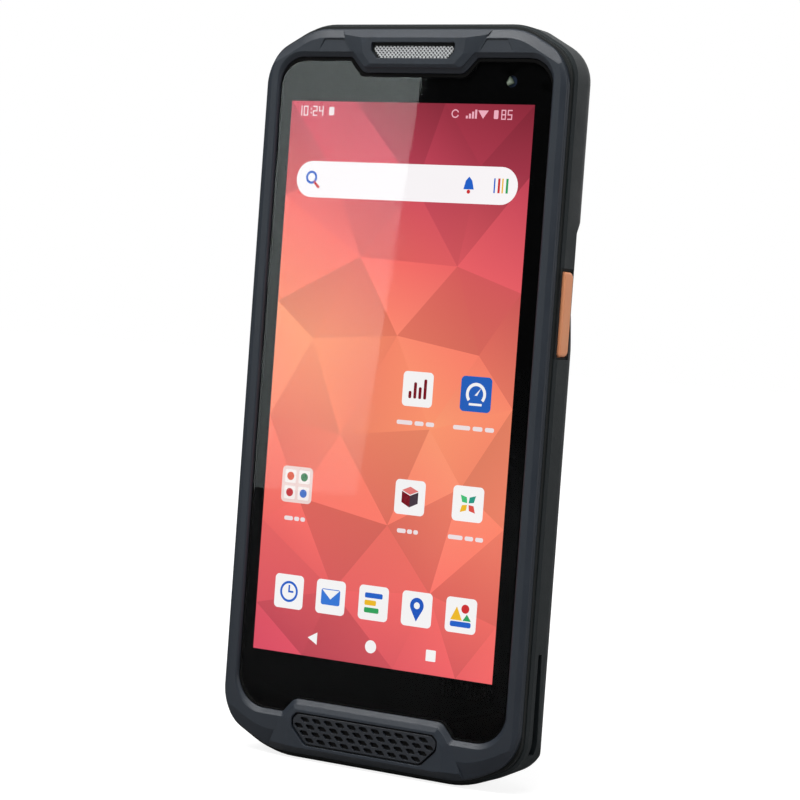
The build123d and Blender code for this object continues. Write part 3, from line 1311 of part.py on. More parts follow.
def switch(base, length):
    """Right-hand tactile switch: body and dome."""
    middle = base + length / 2
    left = BRACKET_XS[1] + SWITCH_BOARD_THICK
    body = block((left, switch_face() - 0.25), (SWITCH_DEPTH - 1.4, SWITCH_DEPTH + 1.4),
                 (middle - SWITCH_HALF, middle + SWITCH_HALF))
    dome = (Pos(switch_face() - 0.15, GLASS_Y + SWITCH_DEPTH, middle)
            * Rot(0, 90, 0) * Cylinder(1.0, 0.3))
    return body + dome


def key_switches():
    """One tactile switch behind each key."""
    switches = []
    for base, length, sides in key_spans():
        solid = switch(base, length)
        switches += [solid if side > 0 else mirror(solid, about=Plane.YZ) for side in sides]
    return Compound(children=switches)


def key_switch_boards():
    """Narrow boards that carry the switches on the chassis brackets."""
    return Compound(children=on_brackets((BRACKET_XS[1], BRACKET_XS[1] + SWITCH_BOARD_THICK)))


def key_seal(base, length):
    """Right-hand rubber seal with a hole for the plunger."""
    middle = base + length / 2
    outer = switch_face() + 0.1 + KEY_SEAL_THICK
    pad = block((outer - KEY_SEAL_THICK, outer), (CHASSIS_BACK, key_back(length) + 0.6),
                (base, base + length))
    hole = (Pos(outer, GLASS_Y + SWITCH_DEPTH, middle)
            * Rot(0, 90, 0) * Cylinder(PLUNGER_RADIUS + 0.2, 3))
    return pad - hole


def key_frame(base, length):
    """Right-hand rubber frame in the gap between a key and the housing."""
    xs = (INNER_SIDE, BODY_HALF - KEY_FRAME_DROP)
    back = key_back(length) + KEY_GAP
    low = base - KEY_GAP
    high = base + length + KEY_GAP
    frame = block(xs, (SEAL_BACK, back + KEY_FRAME), (low - KEY_FRAME, high + KEY_FRAME))
    return frame - block((xs[0] - 1, xs[1] + 1), (KEY_FRONT - KEY_GAP, back), (low, high))


def key_seals():
    """Rubber seals behind the keys and frames around them."""
    seals = []
    for base, length, sides in key_spans():
        for solid in (key_seal(base, length), key_frame(base, length)):
            seals += [solid if side > 0 else mirror(solid, about=Plane.YZ) for side in sides]
    return Compound(children=seals)


# ---- battery and its door ----
def battery_pack():
    """Removable battery."""
    gap = BATTERY_GAP
    pack = round_block((gap - BAY_HALF, BAY_HALF - gap), (BATTERY_FRONT, BATTERY_BACK),
                       (BAY_BASE + gap, BAY_TOP - gap), 1.5)
    pads = [terminal_pocket(x) for x in contact_places()]
    return cut(pack, pads)


def terminal_pocket(x):
    """Shallow pocket for one battery terminal."""
    top = BAY_TOP - BATTERY_GAP
    return block((x - 0.3, x + 1.5), (BOARD_BACK + 0.3, BOARD_BACK + 1.9), (top - 0.4, top + 1))


def battery_terminals():
    """Gold pads on the battery's upper end."""
    top = BAY_TOP - BATTERY_GAP
    pads = [block((x - 0.3, x + 1.5), (BOARD_BACK + 0.3, BOARD_BACK + 1.9), (top - 0.4, top - 0.1))
            for x in contact_places()]
    return Compound(children=pads)


def latch_pocket():
    """Pocket in the door that the latch slides in, with the bolt's channel."""
    top = latch_top() + FIT
    pocket = block((-LATCH_HALF - FIT, LATCH_HALF + FIT), (LATCH_FRONT - FIT, PLATEAU_DEPTH + 1),
                   (top - LATCH_LENGTH - LATCH_TRAVEL - 2 * FIT, top))
    channel = block((-BOLT_HALF - FIT, BOLT_HALF + FIT), (LATCH_FRONT - FIT, PLATEAU_DEPTH + 1),
                    (DOOR_BASE - 1, top - LATCH_LENGTH))
    return pocket + channel


def latch_top():
    """Height of the latch's upper edge with the bolt drawn back."""
    return DOOR_BASE + DOOR_GAP + FIT + BOLT_LENGTH + LATCH_LENGTH + 0.4


def battery_door():
    """Cover over the battery, flush with the back plateau."""
    door = door_box(DOOR_GAP, DOOR_FRONT + FIT, PLATEAU_DEPTH)
    door = fillet(edges_at(door, PLATEAU_DEPTH), SMALL_FILLET)
    return door - latch_pocket()


def door_seal():
    """Rubber ring inside the door that plugs the battery bay."""
    front = BATTERY_BACK + 0.15
    back = DOOR_FRONT + FIT
    return bay_box(-FIT, front, back) - bay_box(-FIT - SEAL_RING, front - 1, back + 1)


def nfc_coil():
    """Flat aerial coil on the inside of the door."""
    half = BAY_HALF - COIL_SIDE_GAP
    low = BAY_BASE + COIL_END_GAP
    high = BAY_TOP - COIL_END_GAP
    hole = half - COIL_WIDTH
    back = DOOR_FRONT + FIT
    outer = round_block((-half, half), (back - COIL_THICK, back), (low, high), 4)
    inner = round_block((-hole, hole), (back - 1, back + 1), (low + COIL_WIDTH, high - COIL_WIDTH), 2)
    return outer - inner


def door_latch():
    """Sliding latch with ribs for the thumb."""
    top = latch_top()
    low = top - LATCH_LENGTH
    slider = block((-LATCH_HALF, LATCH_HALF), (LATCH_FRONT, LATCH_BACK), (low, top))
    bolt = block((-BOLT_HALF, BOLT_HALF), (BOLT_FRONT, BOLT_BACK), (low - BOLT_LENGTH, low))
    grooves = []
    for index in range(RIB_COUNT):
        foot = low + 1 + index * RIB_PITCH
        grooves.append(block((1 - LATCH_HALF, LATCH_HALF - 1), (LATCH_BACK - 0.3, LATCH_BACK + 1),
                             (foot, foot + RIB_WIDTH)))
    return cut(slider + bolt, grooves)


# ---- aerials and fasteners ----
def wifi_antenna():
    """Flexible aerial on the inner back wall, upper left."""
    return block(WIFI_XS, (BACK_WALL_INNER - ANTENNA_THICK, BACK_WALL_INNER),
                 (LENGTH - WIFI_DROPS[0], LENGTH - WIFI_DROPS[1]))


def cell_antenna():
    """Flexible aerial on the inner back wall, near the underside."""
    return block((-CELL_HALF, CELL_HALF), (BACK_WALL_INNER - ANTENNA_THICK, BACK_WALL_INNER),
                 CELL_HEIGHTS)


def screw(x, z, radius, head_radius, tip, seat):
    """Pan-head screw driven from the back, with a cross recess."""
    shank = rod(x, z, radius, tip, seat)
    head = rod(x, z, head_radius, seat, seat + SCREW_HEAD_THICK)
    arm = head_radius * 0.6
    recess = [block((x - arm, x + arm), (seat + 0.5, seat + 3), (z - 0.2, z + 0.2)),
              block((x - 0.2, x + 0.2), (seat + 0.5, seat + 3), (z - arm, z + arm))]
    return cut(shank + head, recess)


def housing_screws():
    """Screws that hold the rear housing to the bezel."""
    return Compound(children=[screw(x, z, SCREW_RADIUS - 0.02, SCREW_HEAD_RADIUS,
                                    BEZEL_DEPTH + 0.6, SCREW_SEAT) for x, z in screw_places()])


def board_screws():
    """Screws that hold the two boards to the chassis."""
    screws = [screw(x, z, 0.58, 1.3, CHASSIS_BACK - 0.4, BOARD_BACK) for x, z in board_posts()]
    screws += [screw(x, z, 0.58, 1.3, CHASSIS_BACK - 0.4, SUB_BOARD_BACK)
               for x, z in sub_board_posts()]
    return Compound(children=screws)


def grip_inserts():
    """Threaded brass inserts for a hand strap or pistol grip."""
    inserts = []
    for x in grip_places():
        sleeve = rod(x, GRIP_HEIGHT, GRIP_INSERT_RADIUS, PLATEAU_DEPTH - GRIP_HOLE_DEPTH,
                     PLATEAU_DEPTH - FIT)
        bore = rod(x, GRIP_HEIGHT, GRIP_HOLE_RADIUS, PLATEAU_DEPTH - GRIP_HOLE_DEPTH - 1,
                   PLATEAU_DEPTH + 1)
        inserts.append(sleeve - bore)
    return Compound(children=inserts)


NODES = {
    "front_bezel": front_bezel,
    "rear_housing": rear_housing,
    "housing_seal": housing_seal,
    "cover_glass": cover_glass,
    "border_film": border_film,
    "glass_tape": glass_tape,
    "display_panel": display_panel,
    "backlight_unit": backlight_unit,
    "display_flex": display_flex,
    "chassis_plate": chassis_plate,
    "main_board": main_board,
    "board_chips": board_chips,
    "processor_shield": processor_shield,
    "radio_shield": radio_shield,
    "card_socket": card_socket,
    "battery_contacts": battery_contacts,
    "sub_board": sub_board,
    "link_flex": link_flex,
    "usb_socket": usb_socket,
    "dock_contacts": dock_contacts,
    "vibration_motor": vibration_motor,
    "microphone": microphone,
    "speaker_grille": speaker_grille,
    "speaker_mesh": speaker_mesh,
    "loudspeaker": loudspeaker,
    "earpiece_mesh": earpiece_mesh,
    "earpiece_gasket": earpiece_gasket,
    "earpiece_receiver": earpiece_receiver,
    "front_camera": front_camera,
    "front_camera_lens": front_camera_lens,
    "rear_camera": rear_camera,
    "rear_camera_window": rear_camera_window,
    "flash_led": flash_led,
    "flash_lens": flash_lens,
    "scan_engine": scan_engine,
    "scan_engine_lenses": scan_engine_lenses,
    "scan_window": scan_window,
    "scan_key_right": lambda: right_key(SCAN_KEY_BASE, SCAN_KEY_LENGTH),
    "scan_key_left": lambda: left_key(SCAN_KEY_BASE, SCAN_KEY_LENGTH),
    "volume_down_key": lambda: left_key(VOLUME_DOWN_BASE, VOLUME_KEY_LENGTH),
    "volume_up_key": lambda: left_key(VOLUME_UP_BASE, VOLUME_KEY_LENGTH),
    "power_key": lambda: left_key(POWER_KEY_BASE, POWER_KEY_LENGTH),
    "key_seals": key_seals,
    "key_switches": key_switches,
    "key_switch_boards": key_switch_boards,
    "battery_pack": battery_pack,
    "battery_terminals": battery_terminals,
    "battery_door": battery_door,
    "door_seal": door_seal,
    "nfc_coil": nfc_coil,
    "door_latch": door_latch,
    "wifi_antenna": wifi_antenna,
    "cell_antenna": cell_antenna,
    "housing_screws": housing_screws,
    "board_screws": board_screws,
    "grip_inserts": grip_inserts,
}

os.makedirs("parts", exist_ok=True)
for name, build in NODES.items():
    export_step(build(), f"parts/{name}.step")
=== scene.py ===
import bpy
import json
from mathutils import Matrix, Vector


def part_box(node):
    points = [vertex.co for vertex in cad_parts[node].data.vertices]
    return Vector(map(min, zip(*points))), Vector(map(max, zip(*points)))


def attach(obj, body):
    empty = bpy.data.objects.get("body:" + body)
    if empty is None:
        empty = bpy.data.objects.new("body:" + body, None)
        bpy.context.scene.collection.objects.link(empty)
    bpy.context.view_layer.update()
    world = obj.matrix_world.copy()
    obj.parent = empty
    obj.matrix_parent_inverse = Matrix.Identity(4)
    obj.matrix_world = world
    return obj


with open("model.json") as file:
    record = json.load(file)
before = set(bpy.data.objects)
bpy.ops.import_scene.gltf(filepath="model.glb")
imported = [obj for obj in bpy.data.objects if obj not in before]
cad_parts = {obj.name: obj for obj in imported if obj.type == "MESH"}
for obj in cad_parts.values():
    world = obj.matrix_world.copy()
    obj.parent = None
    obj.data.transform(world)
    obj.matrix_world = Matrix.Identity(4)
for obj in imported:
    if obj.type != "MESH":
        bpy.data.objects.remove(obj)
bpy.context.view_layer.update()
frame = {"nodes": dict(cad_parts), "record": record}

import json
import math

import bpy
from mathutils import Matrix, Vector
from mathutils.geometry import delaunay_2d_cdt

MM = 0.001

# ---- places, in millimetres ----
GLASS_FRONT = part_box("cover_glass")[0][1] / MM
PANEL_LOW, PANEL_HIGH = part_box("display_panel")
PANEL_BORDER = 1.3       # panel's upper edge to the lit area
SCREEN_WIDTH = 62.5
SCREEN_HEIGHT = 125.0
SCREEN_X = (PANEL_LOW[0] + PANEL_HIGH[0]) / 2 / MM
SCREEN_Z = PANEL_HIGH[2] / MM - PANEL_BORDER - SCREEN_HEIGHT / 2
VIEW_CENTRE = (-0.37, -6.3, 85.94)
# Glass front to the picture's layers, which lie in the gap in front of the panel.
DEPTHS = {"wall": 0.890, "low": 0.875, "mid": 0.860, "high": 0.845, "top": 0.830}


def linear(red, green, blue):
    """Linear colour of a screen colour given as 0 to 255."""
    values = []
    for value in (red, green, blue):
        value /= 255
        values.append(value / 12.92 if value <= 0.04045 else ((value + 0.055) / 1.055) ** 2.4)
    return (*values, 1.0)


# ---- materials ----
class Nodes:
    """Short calls for building one material's node tree."""

    def __init__(self, name):
        self.material = bpy.data.materials.new(name)
        self.material.use_nodes = True
        self.tree = self.material.node_tree
        self.tree.nodes.clear()
        self.out = self.add("ShaderNodeOutputMaterial")
        self.place = self.add("ShaderNodeTexCoord").outputs["Object"]

    def add(self, kind, settings=None, **inputs):
        """New node with settings on itself and values or links on its inputs."""
        node = self.tree.nodes.new(kind)
        for key, value in (settings or {}).items():
            setattr(node, key, value)
        for key, value in inputs.items():
            self.put(node, key.replace("_", " "), value)
        return node

    def put(self, node, socket, value):
        """Set or link one input, given by name or number."""
        target = node.inputs[socket]
        if isinstance(value, bpy.types.NodeSocket):
            self.tree.links.new(value, target)
        else:
            target.default_value = value

    def scaled(self, scale, turn=0.0):
        """Object place scaled to 1 unit per millimetre times scale, along each axis."""
        node = self.add("ShaderNodeMapping", Vector=self.place)
        node.inputs["Scale"].default_value = [value / MM for value in scale]
        node.inputs["Rotation"].default_value[1] = turn
        return node.outputs["Vector"]

    def noise(self, per_mm, detail=3.0, rough=0.55, stretch=(1, 1, 1)):
        """Noise value of a given fineness."""
        scale = [per_mm * value for value in stretch]
        node = self.add("ShaderNodeTexNoise", Vector=self.scaled(scale), Scale=1.0,
                        Detail=detail, Roughness=rough)
        return node.outputs["Fac"]

    def cells(self, per_mm, random=1.0, stretch=(1, 1, 1), turn=0.0):
        """Distance to the nearest of scattered or regular points."""
        scale = [per_mm * value for value in stretch]
        node = self.add("ShaderNodeTexVoronoi", Vector=self.scaled(scale, turn), Scale=1.0,
                        Randomness=random)
        return node.outputs["Distance"]

    def ranged(self, value, low, high, new_low, new_high):
        """Value moved from one range to another."""
        node = self.add("ShaderNodeMapRange", Value=value)
        node.inputs["From Min"].default_value = low
        node.inputs["From Max"].default_value = high
        node.inputs["To Min"].default_value = new_low
        node.inputs["To Max"].default_value = new_high
        return node.outputs["Result"]

    def sum(self, operation, first, second):
        """Arithmetic on two values."""
        node = self.add("ShaderNodeMath", {"operation": operation})
        self.put(node, 0, first)
        self.put(node, 1, second)
        return node.outputs["Value"]

    def blend(self, factor, first, second):
        """Mix of two colours."""
        node = self.add("ShaderNodeMix", {"data_type": "RGBA"})
        self.put(node, 0, factor)
        self.put(node, 6, first)
        self.put(node, 7, second)
        return node.outputs[2]

    def relief(self, height, depth, normal=None):
        """Bump of a given depth in millimetres."""
        node = self.add("ShaderNodeBump", Height=height, Distance=depth * MM, Strength=1.0)
        if normal is not None:
            self.put(node, "Normal", normal)
        return node.outputs["Normal"]

    def soft_edges(self, radius):
        """Normal that rounds sharp edges by a radius in millimetres."""
        return self.add("ShaderNodeBevel", {"samples": 4}, Radius=radius * MM).outputs["Normal"]

    def coat(self, base, roughness, normal, specular=0.5, metallic=0.0):
        """Finish the material as a principled surface."""
        bsdf = self.add("ShaderNodeBsdfPrincipled", Base_Color=base, Roughness=roughness,
                        Normal=normal, Metallic=metallic)
        bsdf.inputs["Specular IOR Level"].default_value = specular
        return self.surface(bsdf.outputs["BSDF"])

    def surface(self, shader):
        """Use this shader for the material."""
        self.tree.links.new(shader, self.out.inputs["Surface"])
        return self.material


def shade(colour, factor):
    """Colour made lighter or darker."""
    return tuple(min(value * factor, 1.0) for value in colour[:3]) + (1.0,)


def plastic(name, colour, rough, grain=3.2, depth=0.02, edge=0.25, specular=0.5, wear_and_edge_highlight=0.12):
    """Moulded plastic with eroded grain, handling polish, and paler edges that are partly wear and
    partly a painted highlight.
    """
    n = Nodes(name)
    patches = n.noise(0.06, 2.0)
    fine = n.noise(grain, 4.0)
    pits = n.cells(grain * 1.4)
    height = n.sum("ADD", fine, n.sum("MULTIPLY", pits, 0.6))
    normal = n.relief(height, depth, n.soft_edges(edge))
    base = n.blend(n.ranged(patches, 0.3, 0.7, 0.0, 1.0), shade(colour, 0.93), shade(colour, 1.06))
    flecked = n.blend(n.ranged(fine, 0.35, 0.75, 0.0, 0.35), base, shade(colour, 1.22))
    # Edges made paler: edge wear and, at higher strengths, a painted highlight along the edges.
    edges = n.ranged(n.add("ShaderNodeNewGeometry").outputs["Pointiness"], 0.52, 0.62, 0.0, 1.0)
    scuffs_and_highlight = n.ranged(n.noise(0.5, 4.0, 0.7), 0.45, 0.7, 0.0, wear_and_edge_highlight)
    worn_and_highlit = n.blend(n.sum("MULTIPLY", edges, scuffs_and_highlight), flecked, shade(colour, 2.0))
    roughness = n.ranged(n.noise(0.12, 3.0), 0.3, 0.7, rough - 0.05, rough + 0.06)
    return n.coat(worn_and_highlit, roughness, normal, specular)


def rubber(name, colour, rough=0.7, specular=0.4):
    """Soft rubber with a dusty bloom."""
    n = Nodes(name)
    bloom = n.ranged(n.noise(0.35, 4.0, 0.65), 0.35, 0.75, 0.0, 1.0)
    tone = n.blend(bloom, colour, shade(colour, 1.7))
    normal = n.relief(n.noise(5.0, 3.0), 0.015, n.soft_edges(0.15))
    roughness = n.ranged(bloom, 0.0, 1.0, rough, min(rough + 0.15, 1.0))
    return n.coat(tone, roughness, normal, specular)


def metal(name, colour, rough, brushed=(1, 1, 1), depth=0.006):
    """Metal with directional marks and small tarnish."""
    n = Nodes(name)
    marks = n.noise(6.0, 4.0, 0.7, brushed)
    tarnish = n.ranged(n.noise(0.4, 4.0), 0.4, 0.75, 0.0, 0.35)
    tone = n.blend(tarnish, colour, shade(colour, 0.62))
    roughness = n.ranged(marks, 0.3, 0.7, rough - 0.06, rough + 0.1)
    normal = n.relief(marks, depth, n.soft_edges(0.08))
    return n.coat(tone, roughness, normal, metallic=1.0)


def cover_glass():
    """Coated cover glass: clear, faintly reflecting, with wiped smudges."""
    n = Nodes("cover_glass_coated")
    smudge = n.ranged(n.noise(0.05, 5.0, 0.65, (1, 1, 0.6)), 0.45, 0.75, 0.0, 1.0)
    roughness = n.ranged(smudge, 0.0, 1.0, 0.012, 0.05)
    normal = n.relief(n.noise(0.02, 1.0), 0.002)
    gloss = n.add("ShaderNodeBsdfAnisotropic", Color=(0.34, 0.36, 0.37, 1.0), Roughness=roughness,
                  Normal=normal)
    clear = n.add("ShaderNodeBsdfTransparent", Color=(0.985, 0.99, 0.99, 1.0))
    strength = n.add("ShaderNodeFresnel", IOR=1.46).outputs["Fac"]
    seen = n.add("ShaderNodeLightPath").outputs["Is Camera Ray"]
    behind = n.add("ShaderNodeNewGeometry").outputs["Backfacing"]
    front = n.sum("MULTIPLY", seen, n.ranged(behind, 0.0, 1.0, 1.0, 0.0))
    mixed = n.add("ShaderNodeMixShader", Fac=n.sum("MULTIPLY", strength, front))
    n.put(mixed, 1, clear.outputs["BSDF"])
    n.put(mixed, 2, gloss.outputs["BSDF"])
    return n.surface(mixed.outputs["Shader"])


def tinted_glass(name, tint, strength=0.6, rough=0.03):
    """Tinted window or lens with a coated front."""
    n = Nodes(name)
    bloom = n.ranged(n.noise(0.3, 4.0), 0.4, 0.7, 0.0, 1.0)
    body = n.blend(bloom, tint, shade(tint, 1.3))
    gloss = n.add("ShaderNodeBsdfPrincipled", Base_Color=body,
                  Roughness=n.ranged(bloom, 0.0, 1.0, rough, rough + 0.08))
    clear = n.add("ShaderNodeBsdfTransparent", Color=tint)
    mixed = n.add("ShaderNodeMixShader", Fac=n.ranged(bloom, 0.0, 1.0, strength, strength + 0.08))
    n.put(mixed, 1, clear.outputs["BSDF"])
    n.put(mixed, 2, gloss.outputs["BSDF"])
    return n.surface(mixed.outputs["Shader"])


def printed_film():
    """Black ink on the glass's back, with the faint mottle of a screen print."""
    n = Nodes("border_ink")
    mottle = n.ranged(n.noise(1.2, 4.0), 0.35, 0.7, 0.0, 1.0)
    tone = n.blend(mottle, (0.0004, 0.0004, 0.0005, 1.0), (0.0008, 0.0008, 0.0010, 1.0))
    roughness = n.ranged(mottle, 0.0, 1.0, 0.5, 0.62)
    return n.coat(tone, roughness, n.relief(n.noise(4.0), 0.004), specular=0.02)


def ear_mesh():
    """Fine woven wire with dark gaps."""
    n = Nodes("ear_mesh_woven")
    gaps = n.cells(1.55, 0.0, (1, 0.001, 1), math.radians(45))
    wires = n.ranged(gaps, 0.2, 0.42, 0.0, 1.0)
    uneven = n.ranged(n.noise(0.6, 3.0), 0.3, 0.7, 0.8, 1.15)
    wire = n.blend(uneven, (0.30, 0.305, 0.31, 1.0), (0.62, 0.63, 0.64, 1.0))
    tone = n.blend(wires, (0.06, 0.062, 0.066, 1.0), wire)
    roughness = n.ranged(wires, 0.0, 1.0, 0.8, 0.42)
    return n.coat(tone, roughness, n.relief(wires, 0.12), metallic=0.35)


def cloth(name, colour):
    """Tightly woven dust cloth."""
    n = Nodes(name)
    weave = n.cells(4.0, 0.15)
    fuzz = n.noise(2.5, 4.0)
    tone = n.blend(n.ranged(weave, 0.1, 0.6, 0.0, 1.0), shade(colour, 1.7), shade(colour, 0.6))
    return n.coat(tone, n.ranged(fuzz, 0.3, 0.7, 0.8, 0.95), n.relief(weave, 0.08))


def circuit_board(name):
    """Solder mask with faint copper tracks below it."""
    n = Nodes(name)
    tracks = n.ranged(n.cells(0.8, 0.35, (1, 1, 3)), 0.42, 0.5, 0.0, 1.0)
    across = n.ranged(n.cells(0.6, 0.3, (3, 1, 1)), 0.44, 0.5, 0.0, 1.0)
    copper = n.sum("MAXIMUM", tracks, across)
    mask = n.blend(n.noise(0.3), (0.004, 0.05, 0.026, 1.0), (0.008, 0.075, 0.04, 1.0))
    tone = n.blend(copper, mask, (0.02, 0.12, 0.06, 1.0))
    roughness = n.ranged(n.noise(1.0), 0.3, 0.7, 0.3, 0.42)
    return n.coat(tone, roughness, n.relief(copper, 0.03))


def ribbon(name):
    """Amber polyimide with lines along it."""
    n = Nodes(name)
    lines = n.ranged(n.cells(2.2, 0.0, (1, 0.01, 0.01)), 0.2, 0.4, 0.0, 1.0)
    tone = n.blend(lines, (0.42, 0.16, 0.03, 1.0), (0.26, 0.09, 0.016, 1.0))
    roughness = n.ranged(n.noise(0.8), 0.3, 0.7, 0.28, 0.42)
    return n.coat(tone, roughness, n.relief(lines, 0.02))


def dark_panel():
    """Unlit edge of the display panel."""
    n = Nodes("panel_edge")
    streaks = n.noise(0.7, 3.0, 0.6, (1, 1, 0.2))
    tone = n.blend(streaks, (0.004, 0.004, 0.005, 1.0), (0.012, 0.012, 0.014, 1.0))
    return n.coat(tone, n.ranged(streaks, 0.3, 0.7, 0.2, 0.35), n.relief(streaks, 0.003))


def make_finishes():
    """Material of each of the record's slots."""
    return {
        # The bezel's strong edge paling is a painted highlight along its edges as well as wear.
        "bezel_plastic": plastic("bezel_satin", (0.020, 0.027, 0.038), 0.46, wear_and_edge_highlight=0.5),
        "housing_plastic": plastic("housing_textured", (0.009, 0.014, 0.016), 0.55, 2.6, 0.04,
                                   specular=0.4),
        "seal_rubber": rubber("seal_black", (0.010, 0.012, 0.012, 1.0)),
        "cover_glass": cover_glass(),
        "border_print": printed_film(),
        "adhesive": rubber("tape_foam", (0.003, 0.003, 0.003, 1.0), 0.8, 0.1),
        "screen": dark_panel(),
        "backlight": plastic("tray_white", (0.70, 0.71, 0.70), 0.5, 1.5, 0.01),
        "flex_ribbon": ribbon("flex_amber"),
        "chassis_metal": metal("chassis_cast", (0.42, 0.43, 0.45, 1.0), 0.45, depth=0.03),
        "circuit_board": circuit_board("board_mask"),
        "chip_black": plastic("chip_moulded", (0.012, 0.012, 0.014), 0.5, 5.0, 0.01, 0.1),
        "shield_steel": metal("shield_tinned", (0.60, 0.60, 0.59, 1.0), 0.3, (1, 1, 8)),
        "contact_gold": metal("contact_plated", (0.80, 0.55, 0.20, 1.0), 0.22),
        "scan_key_orange": plastic("scan_key_satin", (0.95, 0.36, 0.17), 0.42, 3.6, 0.02, 0.35),
        "key_plastic": plastic("key_charcoal", (0.020, 0.025, 0.028), 0.45, 3.6, 0.02, 0.2),
        "grille_plastic": plastic("grille_satin", (0.017, 0.021, 0.028), 0.44, 3.4, 0.015, 0.12),
        "dust_cloth": cloth("dust_cloth_black", (0.006, 0.006, 0.007)),
        "ear_mesh": ear_mesh(),
        "module_black": plastic("module_moulded", (0.010, 0.010, 0.012), 0.42, 4.0, 0.01, 0.1),
        "lens_glass": tinted_glass("lens_coated", (0.02, 0.03, 0.06, 1.0), 0.75),
        "flash_glass": tinted_glass("flash_frosted", (0.80, 0.78, 0.66, 1.0), 0.6, 0.35),
        "scan_glass": tinted_glass("scan_window_red", (0.10, 0.008, 0.010, 1.0), 0.7, 0.05),
        "battery_wrap": plastic("battery_wrapped", (0.018, 0.018, 0.020), 0.38, 1.2, 0.02, 0.3),
        "screw_steel": metal("screw_blackened", (0.09, 0.09, 0.095, 1.0), 0.38),
        "insert_brass": metal("insert_turned", (0.62, 0.42, 0.16, 1.0), 0.3, (6, 1, 1)),
        "diode": plastic("diode_phosphor", (0.75, 0.62, 0.12), 0.6, 2.0, 0.01, 0.1),
    }


def dress_nodes(finishes):
    """Give every CAD piece the finish of its slot."""
    for part in frame["record"]["subparts"]:
        node = frame["nodes"][part["node"]]
        node.data.materials.clear()
        node.data.materials.append(finishes[part["material_slot"]])
        for face in node.data.polygons:
            face.material_index = 0


def placed(thing):
    """Put a new object into the scene."""
    bpy.context.collection.objects.link(thing)
    return thing


# ---- picture on the display ----
def lit(name, strength=1.0):
    """Lit pixels: the mesh's own colours through the panel's fine pixel grid."""
    n = Nodes(name)
    colour = n.add("ShaderNodeAttribute", {"attribute_name": "glow"}).outputs["Color"]
    grid = n.ranged(n.cells(6.0, 0.0, (1, 0.001, 1)), 0.2, 0.7, 1.0, 0.93)
    uneven = n.ranged(n.noise(0.02, 2.0), 0.3, 0.7, 0.97, 1.02)
    level = n.sum("MULTIPLY", n.sum("MULTIPLY", grid, uneven), strength)
    glow = n.add("ShaderNodeEmission", Color=colour, Strength=level)
    return n.surface(glow.outputs["Emission"])


def on_screen(points, layer):
    """Places in metres of points given in millimetres from the screen's middle."""
    y = (GLASS_FRONT + DEPTHS[layer]) * MM
    return [((x + SCREEN_X) * MM, y, (z + SCREEN_Z) * MM) for x, z in points]


class Picture:
    """Flat coloured pieces of one layer, gathered into one mesh."""

    def __init__(self, name, layer):
        self.name = name
        self.layer = layer
        self.points = []
        self.faces = []
        self.colours = []

    def shape(self, outline, colours):
        """One filled outline in one colour, or in one colour for each point."""
        first = len(self.points)
        self.points += outline
        self.faces.append(list(range(first, len(self.points))))
        if not isinstance(colours, list):
            colours = [colours] * len(outline)
        self.colours.append(colours)

    def ring(self, centre, outer, inner, colour, start=0.0, stop=360.0, steps=40):
        """Band of a circle."""
        turns = [math.radians(start + (stop - start) * i / steps) for i in range(steps + 1)]
        places = [[(centre[0] + radius * math.cos(turn), centre[1] + radius * math.sin(turn))
                   for turn in turns] for radius in (outer, inner)]
        for i in range(steps):
            self.shape([places[0][i], places[0][i + 1], places[1][i + 1], places[1][i]], colour)

    def build(self, material, slot="screen"):
        """Mesh object of all shapes, riding on the terminal."""
        mesh = bpy.data.meshes.new(self.name)
        mesh.from_pydata(on_screen(self.points, self.layer), [], self.faces)
        glow = mesh.color_attributes.new("glow", "FLOAT_COLOR", "CORNER")
        corners = [colour for face in self.colours for colour in face]
        for index, colour in enumerate(corners):
            glow.data[index].color = colour
        mesh.materials.append(material)
        piece = placed(bpy.data.objects.new(self.name, mesh))
        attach(piece, "terminal")


def disc(centre, radius, steps=32):
    """Outline of a circle."""
    return [(centre[0] + radius * math.cos(2 * math.pi * i / steps),
             centre[1] + radius * math.sin(2 * math.pi * i / steps)) for i in range(steps)]


def rounded_box(centre, width, height, radius, steps=8):
    """Outline of a rectangle with round corners."""
    outline = []
    for side_x, side_z, start in ((1, 1, 0), (-1, 1, 90), (-1, -1, 180), (1, -1, 270)):
        x = centre[0] + side_x * (width / 2 - radius)
        z = centre[1] + side_z * (height / 2 - radius)
        for i in range(steps + 1):
            turn = math.radians(start + 90 * i / steps)
            outline.append((x + radius * math.cos(turn), z + radius * math.sin(turn)))
    return outline


def box_outline(low_x, low_z, high_x, high_z):
    """Outline of a plain rectangle."""
    return [(low_x, low_z), (high_x, low_z), (high_x, high_z), (low_x, high_z)]


WHITE = linear(248, 246, 246)
SOFT_WHITE = linear(240, 226, 228)
BLUE = linear(38, 98, 200)
GREEN = linear(52, 160, 92)
YELLOW = linear(240, 186, 44)
RED = linear(206, 50, 52)
DARK_RED = linear(120, 22, 34)
STATUS_TONE = linear(240, 176, 192)
PIN_BLUE = linear(34, 88, 190)
SCREEN_GLOW = 1.06
TILE = 7.7               # side of an application tile
TILE_CORNER = 0.13       # its corner radius, as a share of the side

# Wallpaper colours, from its bright line outwards: orange, coral, rose and wine.
WALL_RAMP = [(250, 150, 110), (240, 110, 100), (205, 75, 95), (130, 40, 55)]
WALL_BRIGHT_Z = 0.0      # where the bright line crosses the screen's middle
WALL_LEAN = 0.4          # its fall for each millimetre to the right
WALL_REACH_UP = 70.0     # from the bright line to the ramp's end, upwards
WALL_REACH_DOWN = 110.0  # and downwards
